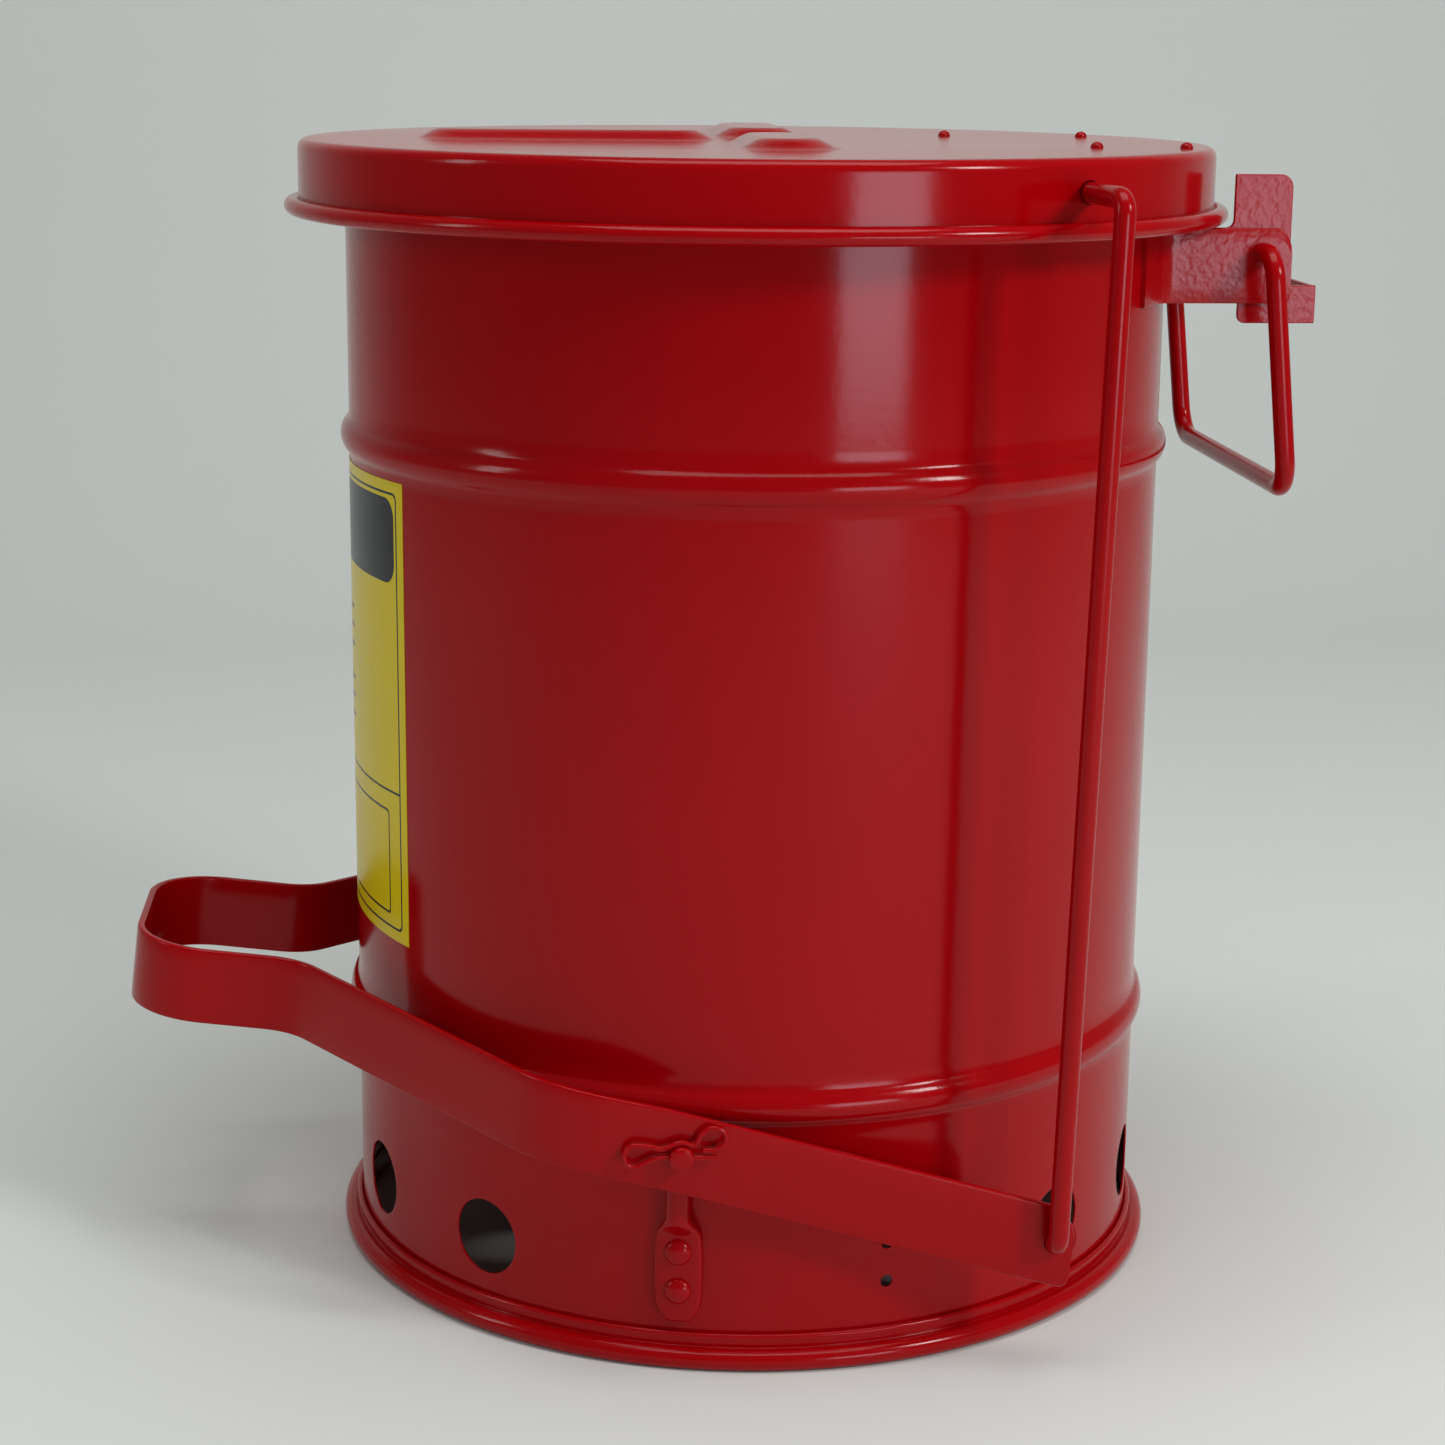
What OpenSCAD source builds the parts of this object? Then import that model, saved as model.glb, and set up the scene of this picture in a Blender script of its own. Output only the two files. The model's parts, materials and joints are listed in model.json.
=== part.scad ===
// Foot-operated oily waste can, modelled with its lid shut and its pedal up.
// Origin: centre of the base, on the floor. +Z is up, the pedal points to -X, the hinge to +X,
// and the lift rod is on the -Y side.

/* [Can] */
// Outer diameter of the body
body_d = 336; // [280:1:404]
// Height from the floor to the flat top of the shut lid
total_h = 464; // [386:1:557]
// Thickness of the body sheet, with its enamel
wall = 0.8; // [0.6:0.1:1.4]
// Height of the lower rolled rib, which the raised bottom rests under
low_rib_z = 106; // [98:1:125]
// Distance from the shut lid's top down to the upper rolled rib
high_rib_drop = 119; // [105:1:150]
// How far a rolled rib stands proud
rib_proud = 3.5; // [2:0.5:5]
// Height of a rolled rib
rib_h = 13; // [10:1:18]
// Diameter of the rolled bead of the base ring
base_bead = 8.5; // [6:0.5:11]

/* [Vents] */
// Diameter of a vent hole in the skirt
vent_d = 31; // [20:1:36]
// Height of the vent holes' centres
vent_z = 37.5; // [32:0.5:44]
// Angle from the front or back to the nearer pair of vents
vent_a = 20; // [16:1:24]
// Angle from the nearer pair to the further pair
vent_step = 26.6; // [24:0.2:30]

/* [Lid] */
// How far the lid's skirt stands outside the body
lid_overhang = 18.5; // [14:0.5:24]
// Thickness of the lid sheet
lid_wall = 1; // [0.8:0.1:1.4]
// Height of the lid's skirt, from its top to the middle of its bead
skirt_h = 26.5; // [22:0.5:34]
// Diameter of the rolled bead round the lid's edge
lid_bead = 6.8; // [5:0.2:9]
// How far the lid's pressed ribs stand up
emboss_h = 4; // [2:0.5:5]
// How far the lid opens, in degrees
lid_open = 50; // [20:1:50]

/* [Hinge] */
// Distance from the body's back to the hinge pin
hinge_out = 27.5; // [24:0.5:36]
// Drop from the lid's top to the hinge pin
hinge_drop = 40; // [38:0.5:48]
// Width across the fixed bracket
bracket_w = 140; // [120:1:160]
// Height of the fixed bracket
bracket_h = 29.5; // [26:0.5:31]
// Thickness of the bracket's plate
bracket_t = 2; // [1.5:0.25:3]
// Thickness of the lid arm's plate
arm_t = 2; // [1.5:0.25:3]

/* [Handle] */
// Diameter of the round bar of the carrying handle and of the lift rod
bar_d = 7.9; // [6:0.1:9]
// Distance from the hinge pin to the middle of the handle's grip
handle_l = 93; // [80:1:105]
// Angle by which the handle leans back at rest
handle_lean = 6; // [0:1:10]

/* [Pedal] */
// Width of the pedal's flat bar
strap_w = 31.75; // [26:0.25:34]
// Thickness of the pedal's flat bar
strap_t = 3; // [2.5:0.25:4]
// Gap between the body and the flat bar beside it
strap_gap = 10; // [9.75:0.25:14]
// Slope of the pedal's side bars
side_slope = 16; // [13:0.5:18]
// Slope of the pedal's foot loop
foot_slope = 7; // [4:0.5:10]
// How far the foot loop reaches out from the body's front
foot_out = 92; // [85:1:105]
// Width of the foot loop
foot_w = 108; // [96:1:120]

/* [Pivot] */
// Diameter of the pivot studs
stud_d = 9.5; // [8:0.25:10.5]
// Height of the pedal's pivot
pivot_z = 94; // [90:0.5:98]
// Angle round the can from its side to a stud
stud_a = 14; // [10:1:18]
// Heights of the two rivets of a stud
stud_rivet_z = [32, 48];
// Diameter of the rivet shanks
rivet_d = 5; // [4:0.25:6]

/* [Lift rod] */
// Distance from the body's back to the rod's hole in the lid, along X
lid_hole_in = 61; // [53:1:70]
// Angle that the rod's top hook runs off the square
hook_slant = 11; // [0:1:14]
// Drop from the lid's top to that hole
lid_hole_drop = 12.5; // [12:0.5:17]
// Distance from the body's back to the rod's hole in the pedal, along X
rod_hole_in = 65; // [64:1:70]
// Height of the rod's hole in the pedal
rod_hole_z = 54; // [52:0.5:55]

/* [Fits] */
// Radial clearance of a pin in its hole
pin_fit = 0.08; // [0.05:0.01:0.1]
// Gap between two faces that pass each other
face_gap = 0.3; // [0.3:0.05:0.6]

/* [Hidden] */
$fn = 96;
RED = "#b5060b";
eps = 0.01;

body_r = body_d / 2;
bar_r = bar_d / 2;
stud_r = stud_d / 2;
rim_top = total_h - lid_wall - face_gap;
rim_curl = 3;
high_rib_z = total_h - high_rib_drop;
base_r = body_r + base_bead - 0.5;
skirt_r = body_r + lid_overhang;
bead_r = lid_bead / 2;
bead_z = total_h - skirt_h;
hinge = [body_r + hinge_out, total_h - hinge_drop];

// Pedal, seen from the side: two straight slopes with a smooth bend between them.
strap_y = body_r + strap_gap + strap_t / 2;
pivot_x = -(body_r + stud_r + face_gap) * sin(stud_a);
bend_x = pivot_x - 26;
strap_end_x = body_r - rod_hole_in + 13;
foot_reach = body_r + foot_out;
pivot = [pivot_x, pivot_z];

// Linkage, as points in the X-Z plane: hinge, lid hole, rod hole in the pedal, pedal pivot.
lid_hole = [body_r - lid_hole_in, total_h - lid_hole_drop];
rod_hole = [body_r - rod_hole_in, rod_hole_z];
rod_bend = 6;
rod_y = strap_y + strap_t / 2 + face_gap + rod_bend;
rod_l = norm(lid_hole - rod_hole);
lever_l = norm(rod_hole - pivot);
function turn(v, a) = [v.x * cos(a) + v.y * sin(a), v.y * cos(a) - v.x * sin(a)];
function lid_hole_at(a) = hinge + turn(lid_hole - hinge, a);
// Where the rod's foot is when the lid is open by angle a: two circles cross there.
function rod_hole_at(a) =
    let (d = lid_hole_at(a) - pivot, m = norm(d), u = d / m,
         k = (m * m + lever_l * lever_l - rod_l * rod_l) / (2 * m))
    pivot + k * u + sqrt(lever_l * lever_l - k * k) * [u.y, -u.x];
function heading(v) = atan2(v.y, v.x);
lever_turn = heading(rod_hole_at(lid_open) - pivot) - heading(rod_hole - pivot);
rod_turn = heading(lid_hole_at(lid_open) - rod_hole_at(lid_open)) - heading(lid_hole - rod_hole);
// The rod's foot in the pedal's own frame when each piece turns at a constant ratio. The closed
// linkage is opened at this point, so the pedal's hole is a slot along these places.
function foot_in_pedal(f) =
    let (foot = lid_hole_at(lid_open * f) + turn(rod_hole - lid_hole, -rod_turn * f))
    pivot + turn(foot - pivot, lever_turn * f);
slot_path = [for (i = [0:10]) foot_in_pedal(i / 10)];
slot_reach = max([for (p = slot_path) norm(p - rod_hole)]);
slot_end = [for (p = slot_path) if (norm(p - rod_hole) == slot_reach) p][0];
slot_dir = (slot_end - rod_hole) / slot_reach;
slot_side = [for (p = slot_path) (p.x - rod_hole.x) * slot_dir.y - (p.y - rod_hole.y) * slot_dir.x];
slot_bow = max(max(slot_side), -min(slot_side));

// ---- shared shapes ----

// A plate drawn in X-Z and centred on the plane Y = y.
module side_plate(y, t) {
    translate([0, y + t / 2, 0]) rotate([90, 0, 0]) linear_extrude(t) children();
}

// A round bar along Y through the X-Z point p.
module cross_bar(p, r, y0, y1) {
    translate([p.x, y1, p.y]) rotate([90, 0, 0]) cylinder(r = r, h = y1 - y0);
}

// A quarter bend of a round bar: it sets out upwards from the origin and turns towards +Y.
module elbow(bend, r) {
    translate([0, bend, 0]) rotate([90, 0, -90]) rotate_extrude(angle = 90)
        translate([bend, 0]) circle(r);
}

// A ring from radius r0 to r1 and height z0 to z1.
module band(r0, r1, z0, z1) {
    translate([0, 0, z0]) difference() {
        cylinder(r = r1, h = z1 - z0, $fn = 180);
        translate([0, 0, -1]) cylinder(r = r0, h = z1 - z0 + 2, $fn = 180);
    }
}

// A rounded bar shape between two points.
module slot_shape(a, b, r) {
    translate(a) circle(r);
    translate(b) circle(r);
    d = b - a;
    translate(a) rotate(heading(d)) translate([0, -r]) square([norm(d), 2 * r]);
}

// The same, as one outline.
module slot_outline(a, b, r) {
    way = heading(b - a);
    polygon(concat(arc(a, r, way + 90, way + 270, 16), arc(b, r, way - 90, way + 90, 16)));
}

// ---- the can ----

// Half section of a rolled rib: an arc that swells out of the wall.
module rib_section(z, r) {
    arc_r = (pow(rib_h / 2, 2) + pow(rib_proud, 2)) / (2 * rib_proud);
    translate([r - arc_r + rib_proud, z]) intersection() {
        circle(arc_r);
        translate([arc_r - rib_proud, -rib_h]) square([rib_proud + 1, 2 * rib_h]);
    }
}

module shell_section() {
    difference() {
        union() {
            translate([body_r - wall, 2]) square([wall, rim_top - rim_curl - 2]);
            for (z = [low_rib_z, high_rib_z]) rib_section(z, body_r);
            translate([body_r - wall + rim_curl, rim_top - rim_curl]) circle(rim_curl);
        }
        for (z = [low_rib_z, high_rib_z]) rib_section(z, body_r - wall);
        translate([body_r - wall + rim_curl, rim_top - rim_curl]) circle(rim_curl - wall);
        translate([body_r, rim_top - 2 * rim_curl - 1]) square([0.4, rim_curl + 1]);
    }
}

function vent_angles() =
    [for (side = [0, 180], s = [-1, 1], k = [0, 1]) side + s * (vent_a + k * vent_step)];

module body_shell() {
    color(RED) difference() {
        rotate_extrude($fn = 180) shell_section();
        for (a = vent_angles())
            rotate(a) translate([body_r - 8, 0, vent_z]) rotate([0, 90, 0])
                cylinder(d = vent_d, h = 16);
        // rivet holes of the studs, and the spare pair behind each
        for (s = [-1, 1], f = [-1, 1], z = stud_rivet_z)
            rotate(s * 90 + f * stud_a) translate([body_r - 4, 0, z]) rotate([0, 90, 0])
                cylinder(d = rivet_d, h = 8);
        // the notch in the rim that the lid's arm lies in
        translate([body_r - 30, -arm_half - 1.5, rim_top - arm_t - 1.5])
            cube([40, 2 * arm_half + 3, 10]);
    }
}

module base_ring() {
    bead = base_bead / 2;
    color(RED) rotate_extrude($fn = 180) difference() {
        union() {
            translate([base_r - bead, bead]) circle(bead);
            translate([body_r - wall - 1.6, 0]) square([base_r - bead - body_r + wall + 1.6, 2]);
            translate([body_r - wall - 1.6, 0]) square([1.6, base_bead + 2]);
            translate([body_r, 0]) square([1.6, base_bead + 4.5]);
            translate([body_r + 1.6, base_bead + 4]) circle(1.6);
        }
        translate([body_r - wall, 2]) square([wall, 40]);
    }
}

module raised_bottom() {
    flange = 14;
    top = low_rib_z - rib_h / 2 - 1;
    color(RED) union() {
        band(body_r - 2 * wall, body_r - wall, top - flange, top);
        translate([0, 0, top - wall]) cylinder(r = body_r - 2 * wall + eps, h = wall, $fn = 180);
    }
}

module front_label() {
    label_a = 30.5;
    label_t = 0.25;
    z0 = low_rib_z + 41;
    z1 = high_rib_z - 10;
    color("gold") intersection() {
        band(body_r, body_r + label_t, z0, z1);
        translate([0, 0, z0 - 1]) linear_extrude(z1 - z0 + 2)
            polygon([[0, 0], 2 * body_r * [-cos(label_a), -sin(label_a)], [-3 * body_r, 0],
                     2 * body_r * [-cos(label_a), sin(label_a)]]);
    }
}

// ---- the lid ----

module lid_section() {
    corner = 4;
    difference() {
        union() {
            translate([0, total_h - lid_wall]) square([skirt_r - corner, lid_wall]);
            translate([skirt_r - corner, total_h - corner]) intersection() {
                difference() {
                    circle(corner);
                    circle(corner - lid_wall);
                }
                square(corner);
            }
            translate([skirt_r - lid_wall, bead_z]) square([lid_wall, skirt_h - corner]);
            translate([skirt_r + bead_r - lid_wall, bead_z]) circle(bead_r);
        }
        translate([skirt_r + bead_r - lid_wall, bead_z]) circle(bead_r - lid_wall);
        translate([skirt_r, bead_z]) square([0.4, bead_r + 1]);
    }
}

// Places of the lid's three pressed ribs: one to the front and one to each side.
module emboss_shapes(inset) {
    near = 36;
    far = 0.64 * skirt_r;
    r = 15 - inset;
    slot_shape([-far, 0], [-near, 0], r);
    for (s = [-1, 1]) slot_shape([4, s * near], [4, s * (far - 33)], r);
}

module lid_pan() {
    color(RED) difference() {
        union() {
            rotate_extrude($fn = 180) lid_section();
            translate([0, 0, total_h - eps]) linear_extrude(emboss_h) emboss_shapes(0);
        }
        translate([0, 0, total_h - lid_wall - 1]) linear_extrude(emboss_h + 1)
            emboss_shapes(lid_wall);
        cross_bar(lid_hole, bar_r + pin_fit, -skirt_r, -skirt_r / 2);
        for (p = arm_rivet_places()) translate([p.x, p.y, total_h - 10])
            cylinder(d = rivet_d - 1, h = 20, $fn = 32);
    }
}

// ---- hinge ----

arm_half = bracket_w / 2 - bracket_t - face_gap;
arm_flange_x0 = body_r - 92;
arm_top = total_h - lid_wall;
lid_inner = skirt_r - 4.5;
tab_x = hinge.x + 22.5;
rivet_y = arm_half - 8;
function arm_rivet_places() = [[body_r - 39, -rivet_y], [body_r - 3, -rivet_y],
                               [body_r - 80.5, rivet_y], [body_r - 20.5, rivet_y]];

// Side view of the fixed bracket: its end is rounded about the hinge pin.
hinge_end_r = 11.5;
bracket_flange = 22;
bracket_top = hinge.y + 9.5;
bracket_root_x = sqrt(body_r * body_r - bracket_w * bracket_w / 4) - 4;
module bracket_outline() {
    low = bracket_top - bracket_h;
    corner = 3;
    polygon(concat([[bracket_root_x, bracket_top], [bracket_root_x, low]],
                   arc([hinge.x + hinge_end_r - corner, low + corner], corner, -90, 0, 4),
                   arc(hinge, hinge_end_r, 0, asin((bracket_top - hinge.y) / hinge_end_r), 8)));
}

module hinge_bracket() {
    color(RED) difference() {
        union() {
            for (s = [-1, 1])
                side_plate(s * (bracket_w - bracket_t) / 2, bracket_t) bracket_outline();
            // the web, rolled to the can, which runs on past the side plates as two welding flanges
            intersection() {
                translate([0, 0, bracket_top - bracket_h])
                    cylinder(r = body_r + bracket_t, h = bracket_h, $fn = 180);
                translate([body_r / 2, -bracket_w / 2 - bracket_flange, 0])
                    cube([body_r, bracket_w + 2 * bracket_flange, total_h]);
            }
        }
        cylinder(r = body_r + eps, h = total_h, $fn = 180);
        cross_bar(hinge, bar_r + pin_fit, -bracket_w, bracket_w);
    }
}

// Side view of the lid's arm: up inside the skirt, back under the bead, an ear above the hinge pin
// and a tail below it that ends in a tab.
module arm_outline() {
    neck_x0 = sqrt(pow(body_r + 2 * rim_curl + 1, 2) - pow(arm_half - arm_t, 2));
    neck_x1 = sqrt(lid_inner * lid_inner - arm_half * arm_half) - 0.5;
    low = bead_z - bead_r - 0.5;
    ear = 5;
    corner = 3;
    ear_x0 = hinge.x - 12;
    ear_x1 = hinge.x + 11.3;
    ear_top = hinge.y + 30.5;
    tail_x = hinge.x - 9;
    tail_z = hinge.y - 28;
    polygon(concat([[neck_x1, arm_top], [neck_x0, arm_top], [neck_x0, low - 9], [tail_x, low - 9]],
                   arc([tail_x + corner, tail_z + corner], corner, -180, -90, 4),
                   [[tab_x, tail_z], [tab_x, tail_z + 15], [hinge.x + hinge_end_r, tail_z + 15]],
                   arc(hinge, hinge_end_r, 0, acos((ear_x1 - hinge.x) / hinge_end_r), 6),
                   arc([ear_x1 - ear, ear_top - ear], ear, 0, 90, 6),
                   [[ear_x0, ear_top]],
                   arc([ear_x0 - corner, low + corner], corner, 0, -90, 4),
                   [[neck_x1, low]]));
}

module lid_arm() {
    color(RED) difference() {
        union() {
            for (s = [-1, 1]) side_plate(s * (arm_half - arm_t / 2), arm_t) arm_outline();
            intersection() {
                translate([arm_flange_x0, -arm_half, arm_top - arm_t])
                    cube([skirt_r - arm_flange_x0, 2 * arm_half, arm_t]);
                cylinder(r = lid_inner, h = total_h, $fn = 180);
            }
            translate([tab_x - arm_t, -arm_half, hinge.y - 28]) cube([arm_t, 2 * arm_half, 15]);
        }
        cross_bar(hinge, bar_r + pin_fit, -bracket_w, bracket_w);
        for (p = arm_rivet_places()) translate([p.x, p.y, total_h - 10])
            cylinder(d = rivet_d - 1, h = 20, $fn = 32);
    }
}

module lid_arm_rivets() {
    head_h = 2.6;
    color(RED) for (p = arm_rivet_places()) translate([p.x, p.y, arm_top - arm_t]) {
        cylinder(d = rivet_d - 1, h = arm_t + lid_wall, $fn = 32);
        translate([0, 0, -1.2]) cylinder(d = rivet_d + 2, h = 1.2);
        translate([0, 0, arm_t + lid_wall]) intersection() {
            scale_ball(rivet_d / 2, head_h);
            translate([0, 0, 5]) cube(10, center = true);
        }
    }
}

// A dome of radius r and height h, cut from a ball.
module scale_ball(r, h) {
    ball = (r * r + h * h) / (2 * h);
    translate([0, 0, h - ball]) sphere(ball);
}

// ---- carrying handle: one bent bar whose two ends are the hinge pin ----

module carry_handle() {
    bend = 10;
    leg_y = bracket_w / 2 + 6 + bend;
    end_y = arm_half - arm_t - 3;
    corner = 13;
    color(RED) translate([hinge.x, 0, hinge.y]) rotate([0, -handle_lean, 0])
        for (s = [0, 1]) mirror([0, s, 0]) {
            cross_bar([0, 0], bar_r, -(leg_y - bend), -end_y);
            translate([0, -leg_y, -bend]) elbow(bend, bar_r);
            translate([0, -leg_y, corner - handle_l]) cylinder(r = bar_r, h = handle_l - corner - bend);
            translate([0, -leg_y, corner - handle_l]) mirror([0, 0, 1]) elbow(corner, bar_r);
            cross_bar([0, -handle_l], bar_r, -(leg_y - corner), 0);
        }
}

// ---- pedal ----

// Plan of the pedal's centre line on the -Y side, from the back end to the front.
side_r = 55;
flare = 50;
neck_r = 24;
foot_r = 30;
function arc(c, r, a0, a1, n) = [for (i = [0:n]) c + r * [cos(a0 + (a1 - a0) * i / n),
                                                          sin(a0 + (a1 - a0) * i / n)]];
// The straight stretch between the side bend and the neck ends where the neck meets the foot's side.
foot_y = foot_w / 2 - strap_t / 2;
side_c = [bend_x + 7, -strap_y + side_r];
side_out = side_c + side_r * [-sin(flare), -cos(flare)];
neck_in_y = -foot_y - neck_r * (1 - cos(flare));
run = (neck_in_y - side_out.y) / sin(flare);
neck_in = side_out + run * [-cos(flare), sin(flare)];
neck_c = neck_in + neck_r * [-sin(flare), -cos(flare)];
front_x = -(foot_reach - strap_t / 2);

// Solid plan shape whose edge lies o outside the centre line, run on past the bar's back end.
module pedal_plan(o, past) {
    half = concat([[strap_end_x + past, -strap_y - o]],
                  arc(side_c, side_r + o, -90, -90 - flare, 12),
                  arc(neck_c, neck_r - o, 90 - flare, 90, 10),
                  arc([front_x + foot_r, -foot_y + foot_r], foot_r + o, -90, -180, 12));
    polygon(concat(half, [for (i = [len(half) - 1:-1:0]) [half[i].x, -half[i].y]]));
}

// Side view of the flat bar: two slopes joined by an arc, with a rounded back end.
knee = [bend_x, pivot_z + (pivot.x - bend_x) * tan(side_slope)];
foot_mid = [-foot_reach + foot_w / 2, knee.y + (bend_x + foot_reach - foot_w / 2) * tan(foot_slope)];
side_bend_r = 300;
module pedal_side() {
    half = strap_w / 2;
    cut = side_bend_r * tan((side_slope - foot_slope) / 2);
    front_end = knee + (foot_reach + 20) * [-cos(foot_slope), sin(foot_slope)];
    bend_c = knee + cut * [-cos(foot_slope), sin(foot_slope)]
             - side_bend_r * [sin(foot_slope), cos(foot_slope)];
    along = [cos(side_slope), -sin(side_slope)];
    up = [sin(side_slope), cos(side_slope)];
    back_end = knee + (strap_end_x - bend_x) / cos(side_slope) * along;
    top_r = 12;
    low_r = 4;
    // the same line raised or lowered by o
    function line(o) = concat(
        [front_end + o * [sin(foot_slope), cos(foot_slope)]],
        arc(bend_c, side_bend_r + o, 90 - foot_slope, 90 - side_slope, 6));
    polygon(concat(line(half),
                   arc(back_end - top_r * along + (half - top_r) * up, top_r,
                       90 - side_slope, -side_slope, 8),
                   arc(back_end - low_r * along - (half - low_r) * up, low_r,
                       -side_slope, -90 - side_slope, 5),
                   [for (i = [len(line(-half)) - 1:-1:0]) line(-half)[i]]));
}

module foot_pedal() {
    hole = bar_r + pin_fit + face_gap;
    color(RED) difference() {
        intersection() {
            translate([foot_mid.x, 0, foot_mid.y]) rotate([0, foot_slope, 0])
                translate([-foot_mid.x, 0, -300]) linear_extrude(600) difference() {
                    pedal_plan(strap_t / 2, 40);
                    pedal_plan(-strap_t / 2, 50);
                }
            side_plate(0, 3 * body_r) pedal_side();
        }
        cross_bar(pivot, stud_r + pin_fit, -250, 250);
        // the slot that frees the rod's foot, on the rod's side only
        side_plate(-strap_y, 20) slot_outline(rod_hole, slot_end, hole + slot_bow);
    }
}

// ---- pivot studs: a round bar bent over at the top and flattened below ----

module pivot_stud(s) {
    plate_w = 18.5;
    plate_t = 4;
    neck_z = stud_rivet_z[1] + 12;
    foot_z = stud_rivet_z[0] - 13;
    end_y = strap_y + strap_t / 2 + 7;
    axis_y = (body_r + stud_r + face_gap) * cos(stud_a);
    color(RED) mirror([0, s > 0 ? 1 : 0, 0]) difference() {
        union() {
            cross_bar(pivot, stud_r, -end_y, -axis_y);
            translate([pivot.x, -axis_y, pivot.y]) sphere(stud_r + eps);
            translate([pivot.x, -axis_y, neck_z - 6]) cylinder(r = stud_r, h = pivot.y - neck_z + 6);
            // the flattened foot, on the can's own tangent
            rotate(-90 - stud_a) intersection() {
                translate([body_r - 5, -plate_w / 2, foot_z])
                    cube([plate_t + 5, plate_w, neck_z - foot_z]);
                translate([body_r, 0, foot_z + plate_w / 2 + 8]) rotate([0, 90, 0])
                    linear_extrude(20, center = true)
                        slot_shape([-(neck_z - foot_z - plate_w - 6), 0], [8, 0], plate_w / 2);
            }
        }
        cylinder(r = body_r, h = total_h, $fn = 180);
        rotate(-90 - stud_a) for (z = stud_rivet_z) translate([body_r - 2, 0, z])
            rotate([0, 90, 0]) cylinder(d = rivet_d, h = 20, $fn = 32);
        translate([pivot.x - 20, -(end_y - 3.5), pivot.y]) rotate([0, 90, 0])
            cylinder(r = clip_r, h = 40, $fn = 32);
    }
}

module stud_rivets(s) {
    head = 5.2;
    color(RED) mirror([0, s > 0 ? 1 : 0, 0]) rotate(-90 - stud_a) for (z = stud_rivet_z)
        translate([body_r, 0, z]) rotate([0, 90, 0]) {
            translate([0, 0, -wall - 0.6]) cylinder(d = rivet_d, h = wall + 4.6, $fn = 32);
            translate([0, 0, 4]) intersection() {
                scale_ball(head, 3.2);
                translate([0, 0, 10]) cube(20, center = true);
            }
            translate([0, 0, -wall - 2.6]) cylinder(r = head, h = 2);
        }
}

// Bow-shaped clip: one straight leg through the stud, one bowed over it, and two eyes. Its wire is
// swept along these points, in the clip's own X-Z plane.
clip_r = 1.1;
clip_over = stud_r + clip_r + 0.1;
clip_path = [[14, -0.5], [8, -0.2], [0, 0], [-9, 0], [-14, -2], [-18.5, -3.5], [-21.5, -1], [-21, 3],
             [-18, 5.2], [-12, 4.6], [-8, 3.6], [-5, clip_over - 1.6], [0, clip_over],
             [5, clip_over - 1.2], [7.5, clip_over + 3], [11.5, clip_over + 5.6],
             [16, clip_over + 4], [16.8, clip_over], [13, clip_over - 3], [8.2, clip_over - 3.4]];

module swept_wire(path, r, y, sides = 8) {
    n = len(path);
    heads = [for (i = [0:n - 1]) path[min(i + 1, n - 1)] - path[max(i - 1, 0)]];
    rings = [for (i = [0:n - 1]) for (k = [0:sides - 1])
        let (side = [heads[i].y, -heads[i].x] / norm(heads[i]), c = r * cos(360 * k / sides))
        [path[i].x + c * side.x, y + r * sin(360 * k / sides), path[i].y + c * side.y]];
    walls = [for (i = [0:n - 2], k = [0:sides - 1]) let (m = (k + 1) % sides)
        [i * sides + k, i * sides + m, (i + 1) * sides + m, (i + 1) * sides + k]];
    ends = [[for (k = [sides - 1:-1:0]) k], [for (k = [0:sides - 1]) (n - 1) * sides + k]];
    polyhedron(rings, concat(walls, ends));
}

module cotter_clip(s) {
    y = -(strap_y + strap_t / 2 + 3.5);
    color(RED) mirror([0, s > 0 ? 1 : 0, 0])
        swept_wire([for (p = clip_path) [pivot.x + p.x, pivot.y + p.y]], clip_r, y);
}

// ---- lift rod: a round bar whose ends are bent in, through the pedal and through the lid ----

module lift_rod() {
    bend = rod_bend;
    lap = 1;
    skirt_y = sqrt(skirt_r * skirt_r - lid_hole.x * lid_hole.x);
    reach = rod_y - skirt_y - 6;
    side = reach * tan(hook_slant);
    span = lid_hole - rod_hole;
    leg_l = sqrt(span * span - side * side);
    lean = atan2(span.x, span.y) + atan(side / leg_l);
    color(RED) {
        translate([rod_hole.x, -rod_y, rod_hole.y]) rotate([0, lean, 0]) {
            translate([0, bend, 0]) rotate([-90, 0, 0])
                cylinder(r = bar_r, h = rod_y - bend - strap_y + strap_t / 2 + 6);
            translate([0, 0, bend]) mirror([0, 0, 1]) elbow(bend, bar_r);
            translate([0, 0, bend]) cylinder(r = bar_r, h = leg_l - 4 * bend + lap);
            translate([0, 0, leg_l - bend]) rotate(hook_slant) {
                // the leg's upper end, a hair thicker, so that the two stretches join cleanly
                translate([0, 0, -2 * bend]) cylinder(r = bar_r + eps, h = 2 * bend);
                elbow(bend, bar_r);
                translate([0, bend, bend]) rotate([-90, 0, 0])
                    cylinder(r = bar_r, h = reach / cos(hook_slant) - bend + lap);
            }
        }
        cross_bar(lid_hole, bar_r, -skirt_y - 6 - lap, -skirt_y + 13);
    }
}

module rod_washer(p, y, d) {
    color(RED) difference() {
        cross_bar(p, d / 2, y, y + 1.4);
        cross_bar(p, bar_r, y - 1, y + 4);
    }
}

module rod_washer_top() {
    y = sqrt(pow(skirt_r - lid_wall, 2) - pow(lid_hole.x + 9, 2));
    rod_washer(lid_hole, -y + 0.6, 17);
}

module rod_washer_bottom() {
    rod_washer(rod_hole, -strap_y + strap_t / 2 + 0.6, 19);
}

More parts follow.
